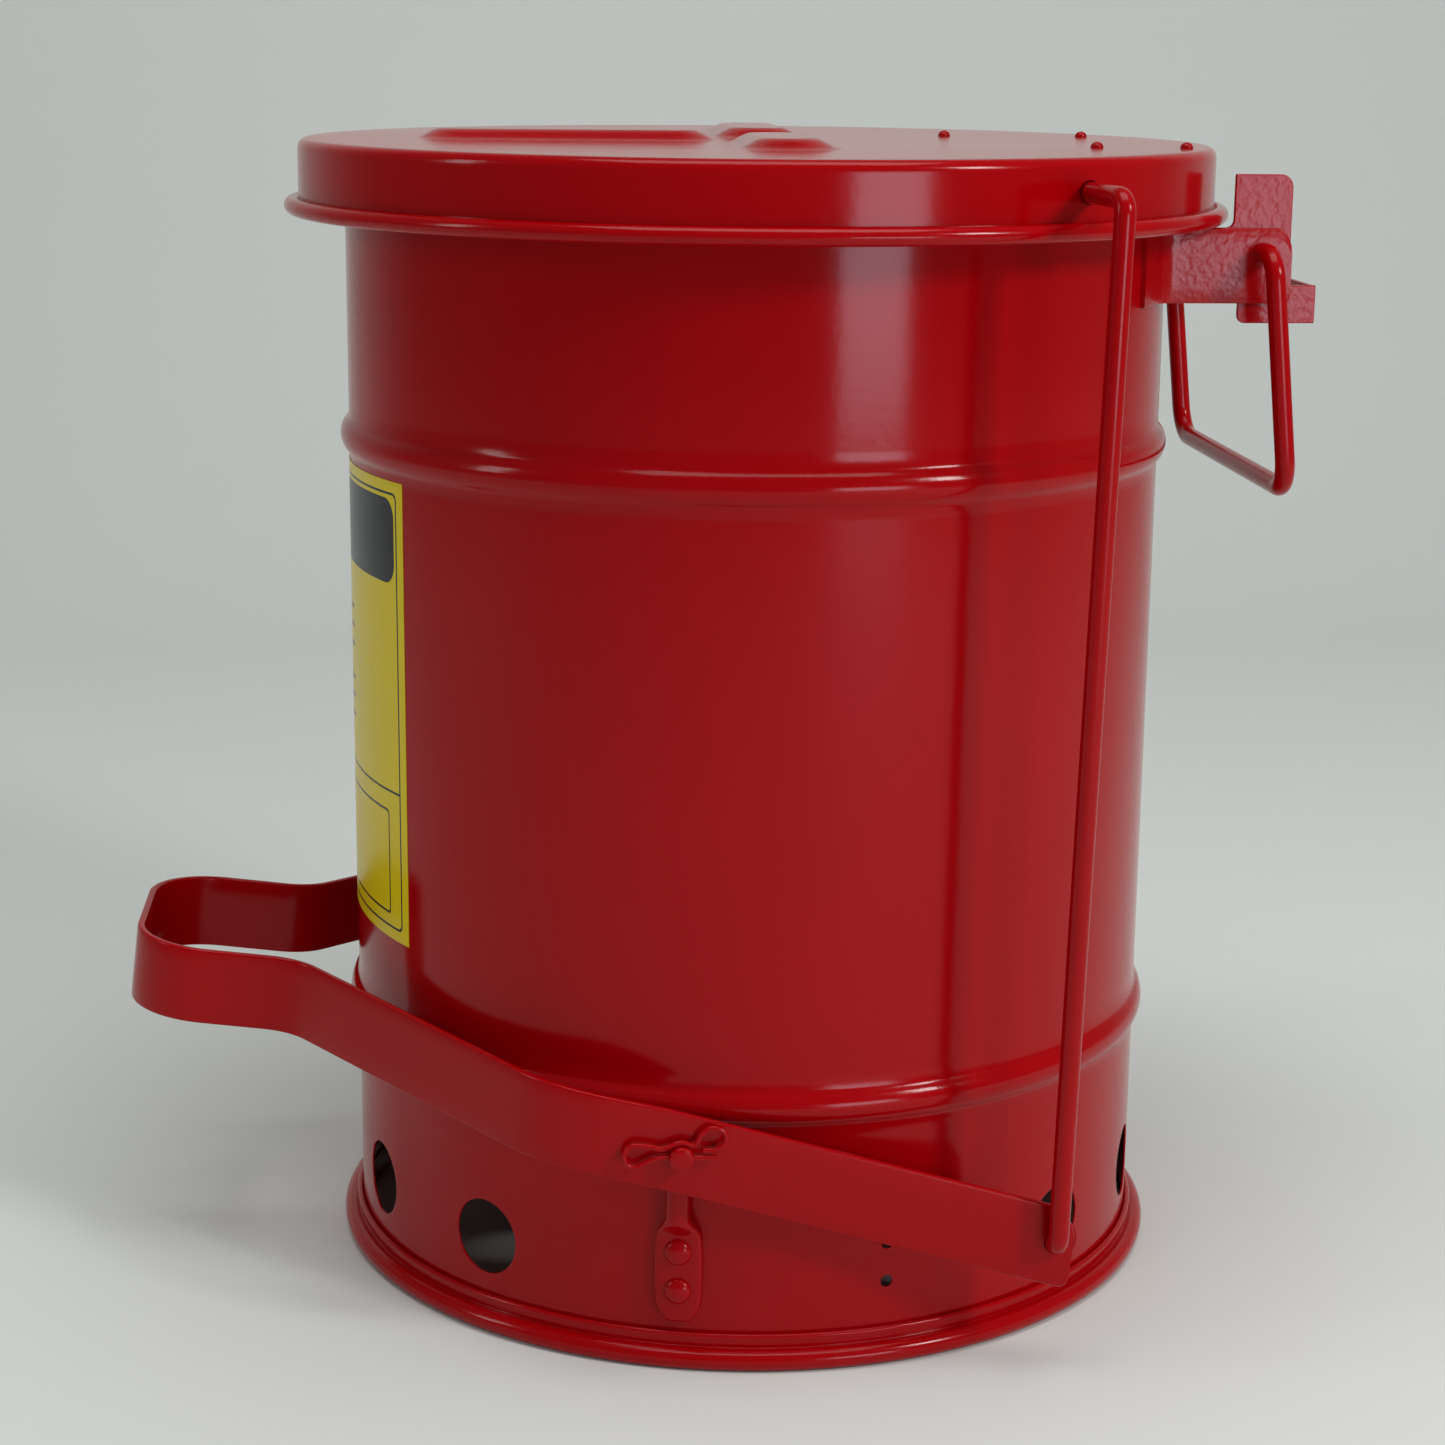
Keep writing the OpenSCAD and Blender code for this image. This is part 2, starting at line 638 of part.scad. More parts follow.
module pivot_stud_near() { pivot_stud(-1); }
module pivot_stud_far() { pivot_stud(1); }
module stud_rivets_near() { stud_rivets(-1); }
module stud_rivets_far() { stud_rivets(1); }
module cotter_clip_near() { cotter_clip(-1); }
module cotter_clip_far() { cotter_clip(1); }

body_shell();
base_ring();
raised_bottom();
hinge_bracket();
lid_pan();
lid_arm();
lid_arm_rivets();
carry_handle();
foot_pedal();
pivot_stud_near();
pivot_stud_far();
stud_rivets_near();
stud_rivets_far();
cotter_clip_near();
cotter_clip_far();
lift_rod();
rod_washer_top();
rod_washer_bottom();
front_label();
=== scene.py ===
# Foot-operated oily waste can: the looks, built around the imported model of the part.
# Lengths are in metres, +Z up, the foot loop points to -X, the hinge to +X, the lift rod is on -Y.
import json
import math

import bmesh
import bpy
import numpy as np

from mathutils import Matrix, Vector


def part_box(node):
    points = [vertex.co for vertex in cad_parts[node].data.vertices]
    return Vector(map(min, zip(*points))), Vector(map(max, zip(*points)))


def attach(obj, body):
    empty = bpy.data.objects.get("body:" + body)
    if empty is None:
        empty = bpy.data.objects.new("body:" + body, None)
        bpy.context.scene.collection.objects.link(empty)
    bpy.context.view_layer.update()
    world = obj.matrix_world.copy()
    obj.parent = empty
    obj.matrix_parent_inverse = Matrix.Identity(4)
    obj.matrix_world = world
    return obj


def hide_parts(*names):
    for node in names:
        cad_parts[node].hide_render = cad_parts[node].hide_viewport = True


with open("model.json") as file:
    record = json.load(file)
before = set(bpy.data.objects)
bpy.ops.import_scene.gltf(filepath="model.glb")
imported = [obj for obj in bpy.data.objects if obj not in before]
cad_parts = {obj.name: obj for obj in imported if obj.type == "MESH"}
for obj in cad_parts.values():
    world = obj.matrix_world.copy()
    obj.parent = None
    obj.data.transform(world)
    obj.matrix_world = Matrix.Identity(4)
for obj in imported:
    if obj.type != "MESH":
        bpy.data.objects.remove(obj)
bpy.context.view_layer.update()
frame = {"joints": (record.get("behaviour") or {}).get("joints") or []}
mm = 0.001


# ---------------------------------------------------------------------------------------------
# Red enamel: every steel piece is dipped or sprayed in one glossy bright red enamel and baked.
# It flows out a little unevenly, which leaves the fine ripple of sprayed paint, and the sheet
# under it is not quite flat. The two sizes of ripple and the thin dust are noise in the paint.
# ---------------------------------------------------------------------------------------------
class Value:
    """A shader socket that adds Math nodes when it is used in a Python expression."""

    def __init__(self, tree, socket):
        self.tree = tree
        self.socket = socket

    def maths(self, operation, *operands):
        node = self.tree.nodes.new("ShaderNodeMath")
        node.operation = operation
        for slot, operand in zip(node.inputs, operands):
            if isinstance(operand, Value):
                self.tree.links.new(operand.socket, slot)
            else:
                slot.default_value = operand
        return Value(self.tree, node.outputs[0])

    def __add__(self, other):
        return self.maths("ADD", self, other)

    def __radd__(self, other):
        return self.maths("ADD", other, self)

    def __sub__(self, other):
        return self.maths("SUBTRACT", self, other)

    def __rsub__(self, other):
        return self.maths("SUBTRACT", other, self)

    def __mul__(self, other):
        return self.maths("MULTIPLY", self, other)

    def __rmul__(self, other):
        return self.maths("MULTIPLY", other, self)

    def __lt__(self, other):
        return self.maths("LESS_THAN", self, other)

    def either(self, other):
        return self.maths("MAXIMUM", self, other)

    def size(self):
        return self.maths("ABSOLUTE", self)


class Paint:
    """One material: its node tree, its Principled shader and the one method that adds nodes."""

    def __init__(self, name, **constants):
        self.material = bpy.data.materials.new(name)
        self.material.use_nodes = True
        self.tree = self.material.node_tree
        self.shader = self.tree.nodes["Principled BSDF"]
        self.set(self.shader, constants)

    def set(self, node, inputs):
        for key, value in inputs.items():
            slot = node.inputs[key if isinstance(key, int) else key.replace("_", " ")]
            if isinstance(value, Value):
                self.tree.links.new(value.socket, slot)
            else:
                slot.default_value = value

    def node(self, kind, settings=None, stops=None, output=0, inputs=None):
        """Adds a node: its settings and ramp stops first, then its sockets' values or links."""
        made = self.tree.nodes.new("ShaderNode" + kind)
        for key, value in (settings or {}).items():
            setattr(made, key, value)
        for element, (place, colour) in zip(made.color_ramp.elements if stops else (), stops or ()):
            element.position = place
            element.color = colour
        self.set(made, inputs or {})
        return Value(self.tree, made.outputs[output])

    def noise(self, place, scale, detail=2.0, roughness=0.5):
        return self.node("TexNoise", output="Fac", inputs={
            "Vector": place, "Scale": scale, "Detail": detail, "Roughness": roughness})

    def blend(self, factor, a, b):
        return self.node("Mix", {"data_type": "RGBA"}, output=2, inputs={0: factor, 6: a, 7: b})


RED = (0.38, 0.0, 0.002, 1)
DEEP_RED = (0.31, 0.0, 0.0015, 1)
RIPPLES = 330.0     # of sprayed paint, in a metre
WAVES = 26.0        # of rolled sheet
CLOUDS = 9.0        # of deeper colour
DUST = 900.0


def red_enamel(name, peel=0.00003, wave=0.00012, rough=0.1, gloss=0.18):
    """Gloss red paint whose surface height is fine ripple plus a slow wave of the sheet: peel and
    wave are the heights of the two."""
    paint = Paint(name, Specular_IOR_Level=gloss)
    place = paint.node("TexCoord", output="Object")
    ripple = paint.noise(place, RIPPLES, 1.5)
    slow = paint.noise(place, WAVES, 1.0)
    cloud = paint.noise(place, CLOUDS, 3.0, 0.6)
    dust = paint.noise(place, DUST, 4.0, 0.7)
    height = ripple * peel + slow * wave
    bump = paint.node("Bump", inputs={"Strength": 1.0, "Distance": 1.0, "Height": height})
    paint.set(paint.shader, {
        "Base Color": paint.blend(cloud, DEEP_RED, RED),
        "Roughness": rough + 0.05 * cloud + 0.04 * dust,
        "Normal": bump})
    return paint.material


sheet_enamel = red_enamel("red_enamel_on_sheet")
bar_enamel = red_enamel("red_enamel_on_bar", peel=0.00002, wave=0.00004, rough=0.15)
thick_enamel = red_enamel("red_enamel_thick", peel=0.00022, wave=0.00010, rough=0.2, gloss=0.3)


def linked(name, mesh, material):
    """A mesh as an object of the scene, untransformed, in one material."""
    mesh.materials.append(material)
    made = bpy.data.objects.new(name, mesh)
    bpy.context.scene.collection.objects.link(made)
    return made


def piece(name, vertices, faces, body, material, replaced=(), sharp=40.0):
    """A closed solid: its faces are turned outward, and edges above that angle are sharp. It rides
    on a body, and the first piece of a CAD node also says which node it replaces."""
    mesh = bpy.data.meshes.new(name)
    mesh.from_pydata(vertices.tolist(), [], faces)
    work = bmesh.new()
    work.from_mesh(mesh)
    bmesh.ops.remove_doubles(work, verts=work.verts, dist=1e-6)
    bmesh.ops.recalc_face_normals(work, faces=work.faces)
    work.to_mesh(mesh)
    work.free()
    mesh.shade_smooth()
    mesh.set_sharp_from_angle(angle=math.radians(sharp))
    made = linked(name, mesh, material)
    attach(made, body)
    if replaced:
        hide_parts(*replaced)
    return made


# ---------------------------------------------------------------------------------------------
# Can body: one sheet rolled into a tube, with two ribs rolled outward into it and its top edge
# curled out, pressed down at the back for the lid's arm. Eight vents are punched in the skirt
# under the raised bottom, and two spare pairs of rivet holes let the pedal sit the other way.
# ---------------------------------------------------------------------------------------------
joint_at = {j["name"]: np.array(j["pos_m"]) for j in frame["joints"]}
hinge = joint_at["lid_hinge"]
pivot = joint_at["pedal_pivot"]
lid_hole = joint_at["rod_swing"]
lid_low, lid_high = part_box("lid_pan")
label_low, label_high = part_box("front_label")
shell_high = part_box("body_shell")[1].z
wall = 0.8 * mm
film = 0.25 * mm
body_r = -label_low.x - film
rim_curl = 3 * mm
rib_proud = 3.5 * mm
rib_h = 13 * mm
low_rib_z = label_low.z - 41 * mm
high_rib_z = label_high.z + 10 * mm
vent_z = 37.5 * mm
vent_r = 15.5 * mm
vent_angles = [side + s * (20 + 26.6 * k) for side in (0, 180) for s in (-1, 1) for k in (0, 1)]
stud_a = 14.0                       # degrees from the side to the studs, and to the spare holes
rivet_z = (32 * mm, 48 * mm)
rivet_hole_r = 2.5 * mm
notch_half, notch_deep = 70 * mm, 4 * mm
columns = 288


def arc(cx, cz, r, start, end, count):
    """Points on a circle about (cx, cz) from one angle to another, in degrees."""
    a = np.radians(np.linspace(start, end, count))
    return np.stack([cx + r * np.cos(a), cz + r * np.sin(a)], 1)


def rib(z, r, count=15):
    """The outward bow of a rolled rib on a wall of radius r, from its lower edge to its upper."""
    bow = ((rib_h / 2) ** 2 + rib_proud ** 2) / (2 * rib_proud)
    half = math.degrees(math.asin(rib_h / 2 / bow))
    swell = arc(r - bow + rib_proud, z, bow, -half, half, count)
    toe = 1.2 * mm
    return np.vstack([[r, z - rib_h / 2 - toe], swell[1:-1], [r, z + rib_h / 2 + toe]])


def grid_faces(rows, count, closed_rows=False):
    """Quads of a grid whose columns run round and close, kept as (rows, columns, 4) indices."""
    steps = rows if closed_rows else rows - 1
    i, j = np.meshgrid(np.arange(steps), np.arange(count), indexing="ij")
    up, on = (i + 1) % rows, (j + 1) % count
    return np.stack([i * count + j, i * count + on, up * count + on, up * count + j], -1)


def revolve(profile, count):
    """Turns a profile of (radius, height) about Z: x = r cos a, y = r sin a, z = height."""
    a = np.linspace(0, 2 * np.pi, count, endpoint=False)
    r, z = profile[:, :1], profile[:, 1:]
    return np.stack([r * np.cos(a), r * np.sin(a), z + 0 * a], -1)


def pierced(profile, count, wall_r, holes):
    """A turned surface with round holes in its straight wall of radius wall_r. A hole is (angle in
    degrees, height, half width, half height, half block of columns, half block of rows): its block
    of quads is taken out, and rings of quads run from the block's edge in to the hole."""
    points = revolve(profile, count).reshape(-1, 3)
    quads = grid_faces(len(profile), count)
    kept = np.ones(quads.shape[:2], bool)
    extra, faces = [points], []
    total = len(points)
    for angle, height, half_w, half_h, span, rows in holes:
        ic = int(round(angle / 360 * count))
        off_wall = np.abs(profile[:, 0] - wall_r) > 1e-5
        jc = int(np.argmin(np.abs(profile[:, 1] - height) + off_wall))
        i0, i1, j0, j1 = ic - span, ic + span, jc - rows, jc + rows
        kept[j0:j1, np.arange(i0, i1) % count] = False
        loop = ([(i, j0) for i in range(i0, i1)] + [(i1, j) for j in range(j0, j1)]
                + [(i, j1) for i in range(i1, i0, -1)] + [(i0, j) for j in range(j1, j0, -1)])
        ii, jj = np.array(loop).T
        r = profile[jc, 0]
        along = np.radians(ii * 360 / count - angle) * r
        edge = np.stack([along, profile[jj, 1] - height], 1)
        way = np.arctan2(edge[:, 1] / half_h, edge[:, 0] / half_w)
        hole = np.stack([half_w * np.cos(way), half_h * np.sin(way)], 1)
        before = jj * count + ii % count
        for t in (0.4, 0.75, 0.93, 1.0):
            flat = edge * (1 - t) + hole * t
            a = np.radians(angle) + flat[:, 0] / r
            extra.append(np.stack([r * np.cos(a), r * np.sin(a), height + flat[:, 1]], 1))
            after = total + np.arange(len(loop))
            faces.append(np.stack([before, np.roll(before, -1), np.roll(after, -1), after], 1))
            before = after
            total += len(loop)
    faces.append(quads[kept])
    return np.vstack(extra), np.vstack(faces)


def sheet(name, vertices, faces, body, material, thickness, replaced):
    """An open surface with its normals towards the can's axis, thickened away from them."""
    mesh = bpy.data.meshes.new(name)
    mesh.from_pydata(vertices.tolist(), [], faces)
    mesh.shade_smooth()
    made = linked(name, mesh, material)
    solid = made.modifiers.new("thickness", "SOLIDIFY")
    solid.thickness = thickness
    solid.offset = -1
    solid.use_even_offset = True
    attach(made, body)
    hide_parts(replaced)
    return made


def upright(r, low, high, count):
    """Evenly spaced points up a straight wall of radius r."""
    return np.stack([np.full(count, r), np.linspace(low, high, count)], 1)


inner_r = body_r - wall
curl_z = shell_high - rim_curl
body_profile = np.vstack([
    [[inner_r, 2.2 * mm], [inner_r, 8 * mm]],
    upright(inner_r, 14 * mm, 61 * mm, 14),
    [[inner_r, 75 * mm], [inner_r, low_rib_z - 12 * mm]],
    rib(low_rib_z, inner_r),
    upright(inner_r, low_rib_z + 14 * mm, high_rib_z - 12 * mm, 9),
    rib(high_rib_z, inner_r),
    [[inner_r, high_rib_z + 14 * mm], [inner_r, curl_z - 45 * mm], [inner_r, curl_z - 8 * mm]],
    arc(inner_r + rim_curl, curl_z, rim_curl, 180, -120, 22)])
body_holes = [(a % 360, vent_z, vent_r, vent_r, 6, 5) for a in vent_angles]
body_holes += [(a % 360, z, rivet_hole_r, rivet_hole_r, 2, 2)
               for a in (stud_a - 90, 90 - stud_a) for z in rivet_z]
shell_points, shell_faces = pierced(body_profile, columns, inner_r, body_holes)
x, y, z = shell_points.T
notch = np.clip((notch_half - np.abs(y)) / (1.5 * mm), 0, 1) * (x > 0) * (z > curl_z - 9 * mm)
shell_points[:, 2] -= notch_deep * notch
sheet("can_body", shell_points, shell_faces[:, ::-1].tolist(),
      "can", sheet_enamel, wall, "body_shell")


# ---------------------------------------------------------------------------------------------
# Base ring: a heavy rolled hoop that the body's lower edge is clinched into. A groove shows
# between its inner collar and the round bead that stands on the floor.
# ---------------------------------------------------------------------------------------------
bead_half = 4.25 * mm
bead_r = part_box("base_ring")[1].x - bead_half


def ring(name, profile, count, body, material, replaced=()):
    """A closed profile turned about Z into a solid ring."""
    points = revolve(profile, count).reshape(-1, 3)
    faces = grid_faces(len(profile), count, True).reshape(-1, 4)
    return piece(name, points, faces.tolist(), body, material, replaced)


base_profile = np.vstack([
    arc(bead_r, bead_half, bead_half, 268, 448, 24),
    arc(body_r + 2.3 * mm, 8.6 * mm, 0.5 * mm, 250, 180, 4),
    arc(body_r + 1.3 * mm, 12.6 * mm, 1.3 * mm, 0, 150, 8),
    [[body_r + 0.02 * mm, 12.4 * mm], [body_r + 0.02 * mm, 1.8 * mm],
     [inner_r - 0.02 * mm, 1.8 * mm], [inner_r - 0.02 * mm, 9.6 * mm]],
    arc(inner_r - 0.8 * mm, 9.6 * mm, 0.8 * mm, 0, 180, 6),
    [[inner_r - 1.6 * mm, 0.4 * mm], [inner_r - 1.2 * mm, 0.0]]])
ring("base_hoop", base_profile, columns, "can", sheet_enamel, ("base_ring",))


# ---------------------------------------------------------------------------------------------
# Raised bottom: a pressed steel dish set in under the lower rib, so that air passes beneath the
# waste. Its turned-down flange fits tightly inside the wall.
# ---------------------------------------------------------------------------------------------
dish_low, dish_top = (corner.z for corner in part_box("raised_bottom"))
corner_r = 5 * mm
dish_profile = np.vstack([
    [[0.0, dish_top], [inner_r * 0.5, dish_top]],
    arc(inner_r - corner_r, dish_top - corner_r, corner_r, 90, 0, 8),
    [[inner_r, dish_low], [inner_r - wall, dish_low]],
    arc(inner_r - corner_r, dish_top - corner_r, corner_r - wall, 0, 90, 8),
    [[inner_r * 0.5, dish_top - wall], [0.0, dish_top - wall]]])
ring("raised_dish", dish_profile, 144, "can", sheet_enamel, ("raised_bottom",))


# ---------------------------------------------------------------------------------------------
# Front label: a thin printed film wrapped on the front of the can, yellow with a black heading
# panel, thin rules and a framed lower panel. It carries no print, only plain panels.
# ---------------------------------------------------------------------------------------------
label_half = math.radians(30.5)
label_r = body_r + film
BLACK = (0.012, 0.012, 0.013, 1)
YELLOW = (0.76, 0.58, 0.0, 1)
DEEP_YELLOW = (0.70, 0.52, 0.0, 1)


def label_film():
    """Yellow film whose black shapes are boxes in millimetres across (u) and up (v)."""
    paint = Paint("label_film", Specular_IOR_Level=0.25)
    uv = paint.node("UVMap", {"uv_map": "film"})
    u = paint.node("SeparateXYZ", output="X", inputs={0: uv})
    v = Value(paint.tree, u.socket.node.outputs["Y"])

    def box(centre, half, corner):
        """1 inside a box with round corners: length(max(|p - c| - h + r, 0)) < r."""
        du = ((u - centre[0]).size() - (half[0] - corner)).either(0.0)
        dv = ((v - centre[1]).size() - (half[1] - corner)).either(0.0)
        return (du * du + dv * dv) < corner * corner

    border = box((0, 0), (84.5, 89.5), 3) * (1 - box((0, 0), (83.5, 88.5), 2.5))
    window = box((-30, -62), (44, 22), 2) * (1 - box((-30, -62), (43, 21), 1.5))
    black = border.either(window)
    heading = ((0, 70), (82, 17), 8)
    stripe = ((80, 12), (1.6, 64), 1)
    rule = ((0, -32), (84, 0.5), 0.3)
    panel = ((54, -64), (20, 17), 2)
    lines = [((20, height), (44, 0.9), 0.5) for height in (34, 26, 18, 4, -4, -12)]
    for shape in (heading, stripe, rule, panel, *lines):
        black = black.either(box(*shape))
    place = paint.node("TexCoord", output="Object")
    tone = paint.noise(place, 40.0, 2.0)
    ripple = paint.noise(place, RIPPLES, 1.5)
    yellow = paint.blend(tone, DEEP_YELLOW, YELLOW)
    bump = paint.node("Bump", inputs={
        "Strength": 1.0, "Distance": 1.0, "Height": ripple * 0.00002})
    paint.set(paint.shader, {
        "Base Color": paint.blend(black, yellow, BLACK),
        "Roughness": 0.22 + 0.08 * tone,
        "Normal": bump})
    return paint.material


def curved_label():
    """Film on the can: x = r cos a, y = r sin a with a = 180 degrees + s half, z = low + t height,
    for s from -1 to 1 and t from 0 to 1. Its flat coordinates are (-a' r, z - middle) in mm."""
    n, rows = 61, 9
    s, t = np.meshgrid(np.linspace(-1, 1, n), np.linspace(0, 1, rows))
    a = np.pi + s * label_half
    z = label_low.z + t * (label_high.z - label_low.z)
    points = np.vstack([np.stack([r * np.cos(a), r * np.sin(a), z], -1).reshape(-1, 3)
                        for r in (body_r + 0.02 * mm, label_r)])
    j, i = np.meshgrid(np.arange(rows - 1), np.arange(n - 1), indexing="ij")
    start = (j * n + i).reshape(-1, 1)
    quad = start + [0, 1, n + 1, n]
    rim = np.concatenate([
        np.arange(n), n - 1 + n * np.arange(1, rows),
        (rows - 1) * n + np.arange(n - 2, -1, -1), n * np.arange(rows - 2, 0, -1)])
    shift = n * rows
    side = np.stack([rim, np.roll(rim, -1), np.roll(rim, -1) + shift, rim + shift], 1)
    faces = np.vstack([quad[:, ::-1], quad + shift, side]).tolist()
    made = piece("front_film", points, faces, "can", label_film(), ("front_label",))
    layer = made.data.uv_layers.new(name="film")
    place = np.empty(len(made.data.vertices) * 3)
    made.data.vertices.foreach_get("co", place)
    place = place.reshape(-1, 3)
    angle = np.arctan2(-place[:, 1], -place[:, 0])
    middle = (label_low.z + label_high.z) / 2
    uv = np.stack([-angle * body_r / mm, (place[:, 2] - middle) / mm], 1)
    corners = np.empty(len(made.data.loops), int)
    made.data.loops.foreach_get("vertex_index", corners)
    layer.data.foreach_set("uv", uv[corners].ravel())


curved_label()


# ---------------------------------------------------------------------------------------------
# Fixed bracket: 2 mm strip steel, spot welded to the back of the can. Two flanges lie on the wall
# and bend out into side plates that end in a round about the hinge pin, with a web between them.
# The enamel on it is thick and wrinkled.
# ---------------------------------------------------------------------------------------------
def plate(name, outline, y0, y1, body, material, replaced=(), edge=0.45 * mm):
    """A flat plate: an outline in X-Z pushed from y0 to y1, with its sharp edges eased."""
    n = len(outline)
    front = np.stack([outline[:, 0], np.full(n, y0), outline[:, 1]], 1)
    back = front + [0, y1 - y0, 0]
    k = np.arange(n)
    walls = np.stack([k, np.roll(k, -1), np.roll(k, -1) + n, k + n], 1).tolist()
    made = piece(name, np.vstack([front, back]), walls + [k.tolist(), (k + n)[::-1].tolist()],
                 body, material, replaced)
    ease(made, edge)
    return made


def ease(made, edge):
    """Rounds the sharp edges of a finished piece by that width."""
    bevel = made.modifiers.new("eased", "BEVEL")
    bevel.width = edge
    bevel.segments = 3
    bevel.limit_method = "ANGLE"
    bevel.angle_limit = math.radians(40)
    bevel.harden_normals = True


def rounded_section(thickness, edge, middles=(0.5, 0.0, -0.5)):
    """A flat bar's section as (across, which edge, offset from that edge): four round corners."""
    rows = []
    for so, sw, start in ((1, -1, -90), (1, 1, 0), (-1, 1, 90), (-1, -1, 180)):
        for across, up in arc(0, 0, edge, start, start + 90, 4):
            rows.append((so * (thickness / 2 - edge) + across, sw, up))
        if so != sw:
            rows += [(so * thickness / 2, sw * f, 0.0) for f in middles]
    return np.array(rows).T


def strip(plan, low, high, thickness, edge):
    """A strip on edge: its section is carried along the plan's centre line, and its height runs
    from low to high at each step, so that (across, share of the height) gives each point."""
    tangent = np.gradient(plan, axis=0)
    tangent /= np.linalg.norm(tangent, axis=1, keepdims=True)
    across = np.stack([tangent[:, 1], -tangent[:, 0]], 1)
    o, which, up = rounded_section(thickness, edge)
    place = plan[:, None] + o[None, :, None] * across[:, None]
    low, high = low[:, None] + edge, high[:, None] - edge
    z = low + (high - low) * (which + 1) / 2 + up
    points = np.concatenate([place, z[..., None]], 2).reshape(-1, 3)
    count = len(o)
    last = (len(plan) - 1) * count
    quads = grid_faces(len(plan), count).reshape(-1, 4).tolist()
    return points, quads + [list(range(count)), list(range(last, last + count))]


bracket_low, bracket_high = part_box("hinge_bracket")
plate_t = 2 * mm
bracket_half = 70 * mm
end_r = 11.5 * mm
bend_r = 9.5 * mm
web_r = body_r + 0.03 * mm + plate_t / 2
side_line = bracket_half - plate_t / 2
bend_a = math.degrees(math.asin((side_line + bend_r) / (web_r + bend_r)))
bend_at = (web_r + bend_r) * math.cos(math.radians(bend_a))
flange_end = math.degrees(math.asin(bracket_high.y / (body_r + plate_t))) - 0.3
foot_r = 3 * mm
run = np.linspace(bend_at + 4 * mm, hinge[0] + 5 * mm, 8)
tip = hinge[0] + end_r * np.sin(np.radians([32, 45, 57, 68, 78, 85, 90]))
straight = np.concatenate([run, tip])
for side, label in ((-1, "near"), (1, "far")):
    plan = np.vstack([
        arc(0, 0, web_r, -flange_end, -bend_a - 1, 9),
        arc(bend_at, -side_line - bend_r, bend_r, 180 - bend_a, 90, 10),
        np.stack([straight, np.full(len(straight), -side_line)], 1)]) * [1, -side]
    past = np.clip(plan[:, 0] - hinge[0], 0, end_r)
    high = np.minimum(bracket_high.z, hinge[2] + np.sqrt(end_r ** 2 - past ** 2))
    under = np.clip(plan[:, 0] - (hinge[0] + end_r - foot_r), 0, foot_r)
    low = bracket_low.z + foot_r - np.sqrt(foot_r ** 2 - under ** 2)
    points, faces = strip(plan, low, high, plate_t, 0.5 * mm)
    piece("bracket_side_" + label, points, faces, "can", thick_enamel,
          ("hinge_bracket",) if side < 0 else ())
web = arc(0, 0, web_r, -bend_a + 1.5, bend_a - 1.5, 25)
points, faces = strip(web, np.full(len(web), bracket_low.z), np.full(len(web), bracket_high.z),
                      plate_t, 0.5 * mm)
piece("bracket_web", points, faces, "can", thick_enamel)


# ---------------------------------------------------------------------------------------------
# Pivot studs: 3/8 inch round bar, forged flat at the foot and riveted to the skirt, then bent
# outward at the top as the pin that the pedal turns on. One on each side.
# ---------------------------------------------------------------------------------------------
def tube(points, radius, sides=20):
    """A round bar along a smooth path: at each point, p + r (cos t n + sin t b), closed ends.
    The normals n are carried along the path without twist."""
    points = np.asarray(points, float)
    tangent = np.gradient(points, axis=0)
    tangent /= np.linalg.norm(tangent, axis=1, keepdims=True)
    start = np.cross(tangent[0], [0.31, 0.87, 0.38])
    normals = [start / np.linalg.norm(start)]
    for t in tangent[1:]:
        n = normals[-1] - t * np.dot(normals[-1], t)
        normals.append(n / np.linalg.norm(n))
    n = np.array(normals)
    b = np.cross(tangent, n)
    a = np.linspace(0, 2 * np.pi, sides, endpoint=False)[None, :, None]
    radius = np.broadcast_to(radius, len(points))[:, None, None]
    rings = points[:, None] + radius * (np.cos(a) * n[:, None] + np.sin(a) * b[:, None])
    quads = grid_faces(len(points), sides).reshape(-1, 4).tolist()
    last = (len(points) - 1) * sides
    ends = [list(range(sides))[::-1], list(range(last, last + sides))]
    return rings.reshape(-1, 3), quads + ends


def rounded_path(corners, radii, turns=13, spacing=6 * mm):
    """Straight runs through the corner points with circular bends: each bend starts r tan(a/2)
    before its corner, where a is the turn there. Points on the runs are no further apart than
    about the spacing."""
    corners = [np.asarray(c, float) for c in corners]
    path = [corners[0]]
    for before, corner, after, r in zip(corners, corners[1:], corners[2:], radii):
        u = (before - corner) / np.linalg.norm(before - corner)
        v = (after - corner) / np.linalg.norm(after - corner)
        turn = math.pi - math.acos(np.clip(np.dot(u, v), -1, 1))
        cut = r * math.tan(turn / 2)
        centre = corner + (u + v) / np.linalg.norm(u + v) * math.hypot(r, cut)
        x = (corner + u * cut - centre) / r
        for a in np.linspace(0, turn, turns):
            path.append(centre + r * (math.cos(a) * x - math.sin(a) * u))
    path.append(corners[-1])
    filled = [path[0]]
    for p, q in zip(path, path[1:]):
        steps = max(1, int(np.linalg.norm(q - p) / spacing))
        filled += [p + (q - p) * k / steps for k in range(1, steps + 1)]
    return np.array(filled)


def ended(path, radius, ease_r=0.7 * mm):
    """Radii along a path whose ends are eased: the first and last two rings draw in."""
    way = np.linalg.norm(np.diff(path, axis=0), axis=1)
    head = path[0] + (path[1] - path[0]) / way[0] * ease_r * np.array([[0.0], [0.3], [1.0]])
    tail = path[-1] + (path[-2] - path[-1]) / way[-1] * ease_r * np.array([[1.0], [0.3], [0.0]])
    points = np.vstack([head, path[1:-1], tail])
    r = np.full(len(points), radius)
    r[[0, -1]] -= ease_r
    r[[1, -2]] -= ease_r * 0.3
    return points, r


bar_r = 3.95 * mm
stud_r = 4.75 * mm
stud_end = abs(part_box("pivot_stud_near")[0].y)
foot_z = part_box("pivot_stud_near")[0].z
neck_z = rivet_z[1] + 12 * mm
foot_w = 18.5 * mm
foot_t = 4 * mm
pin_bend = 7 * mm


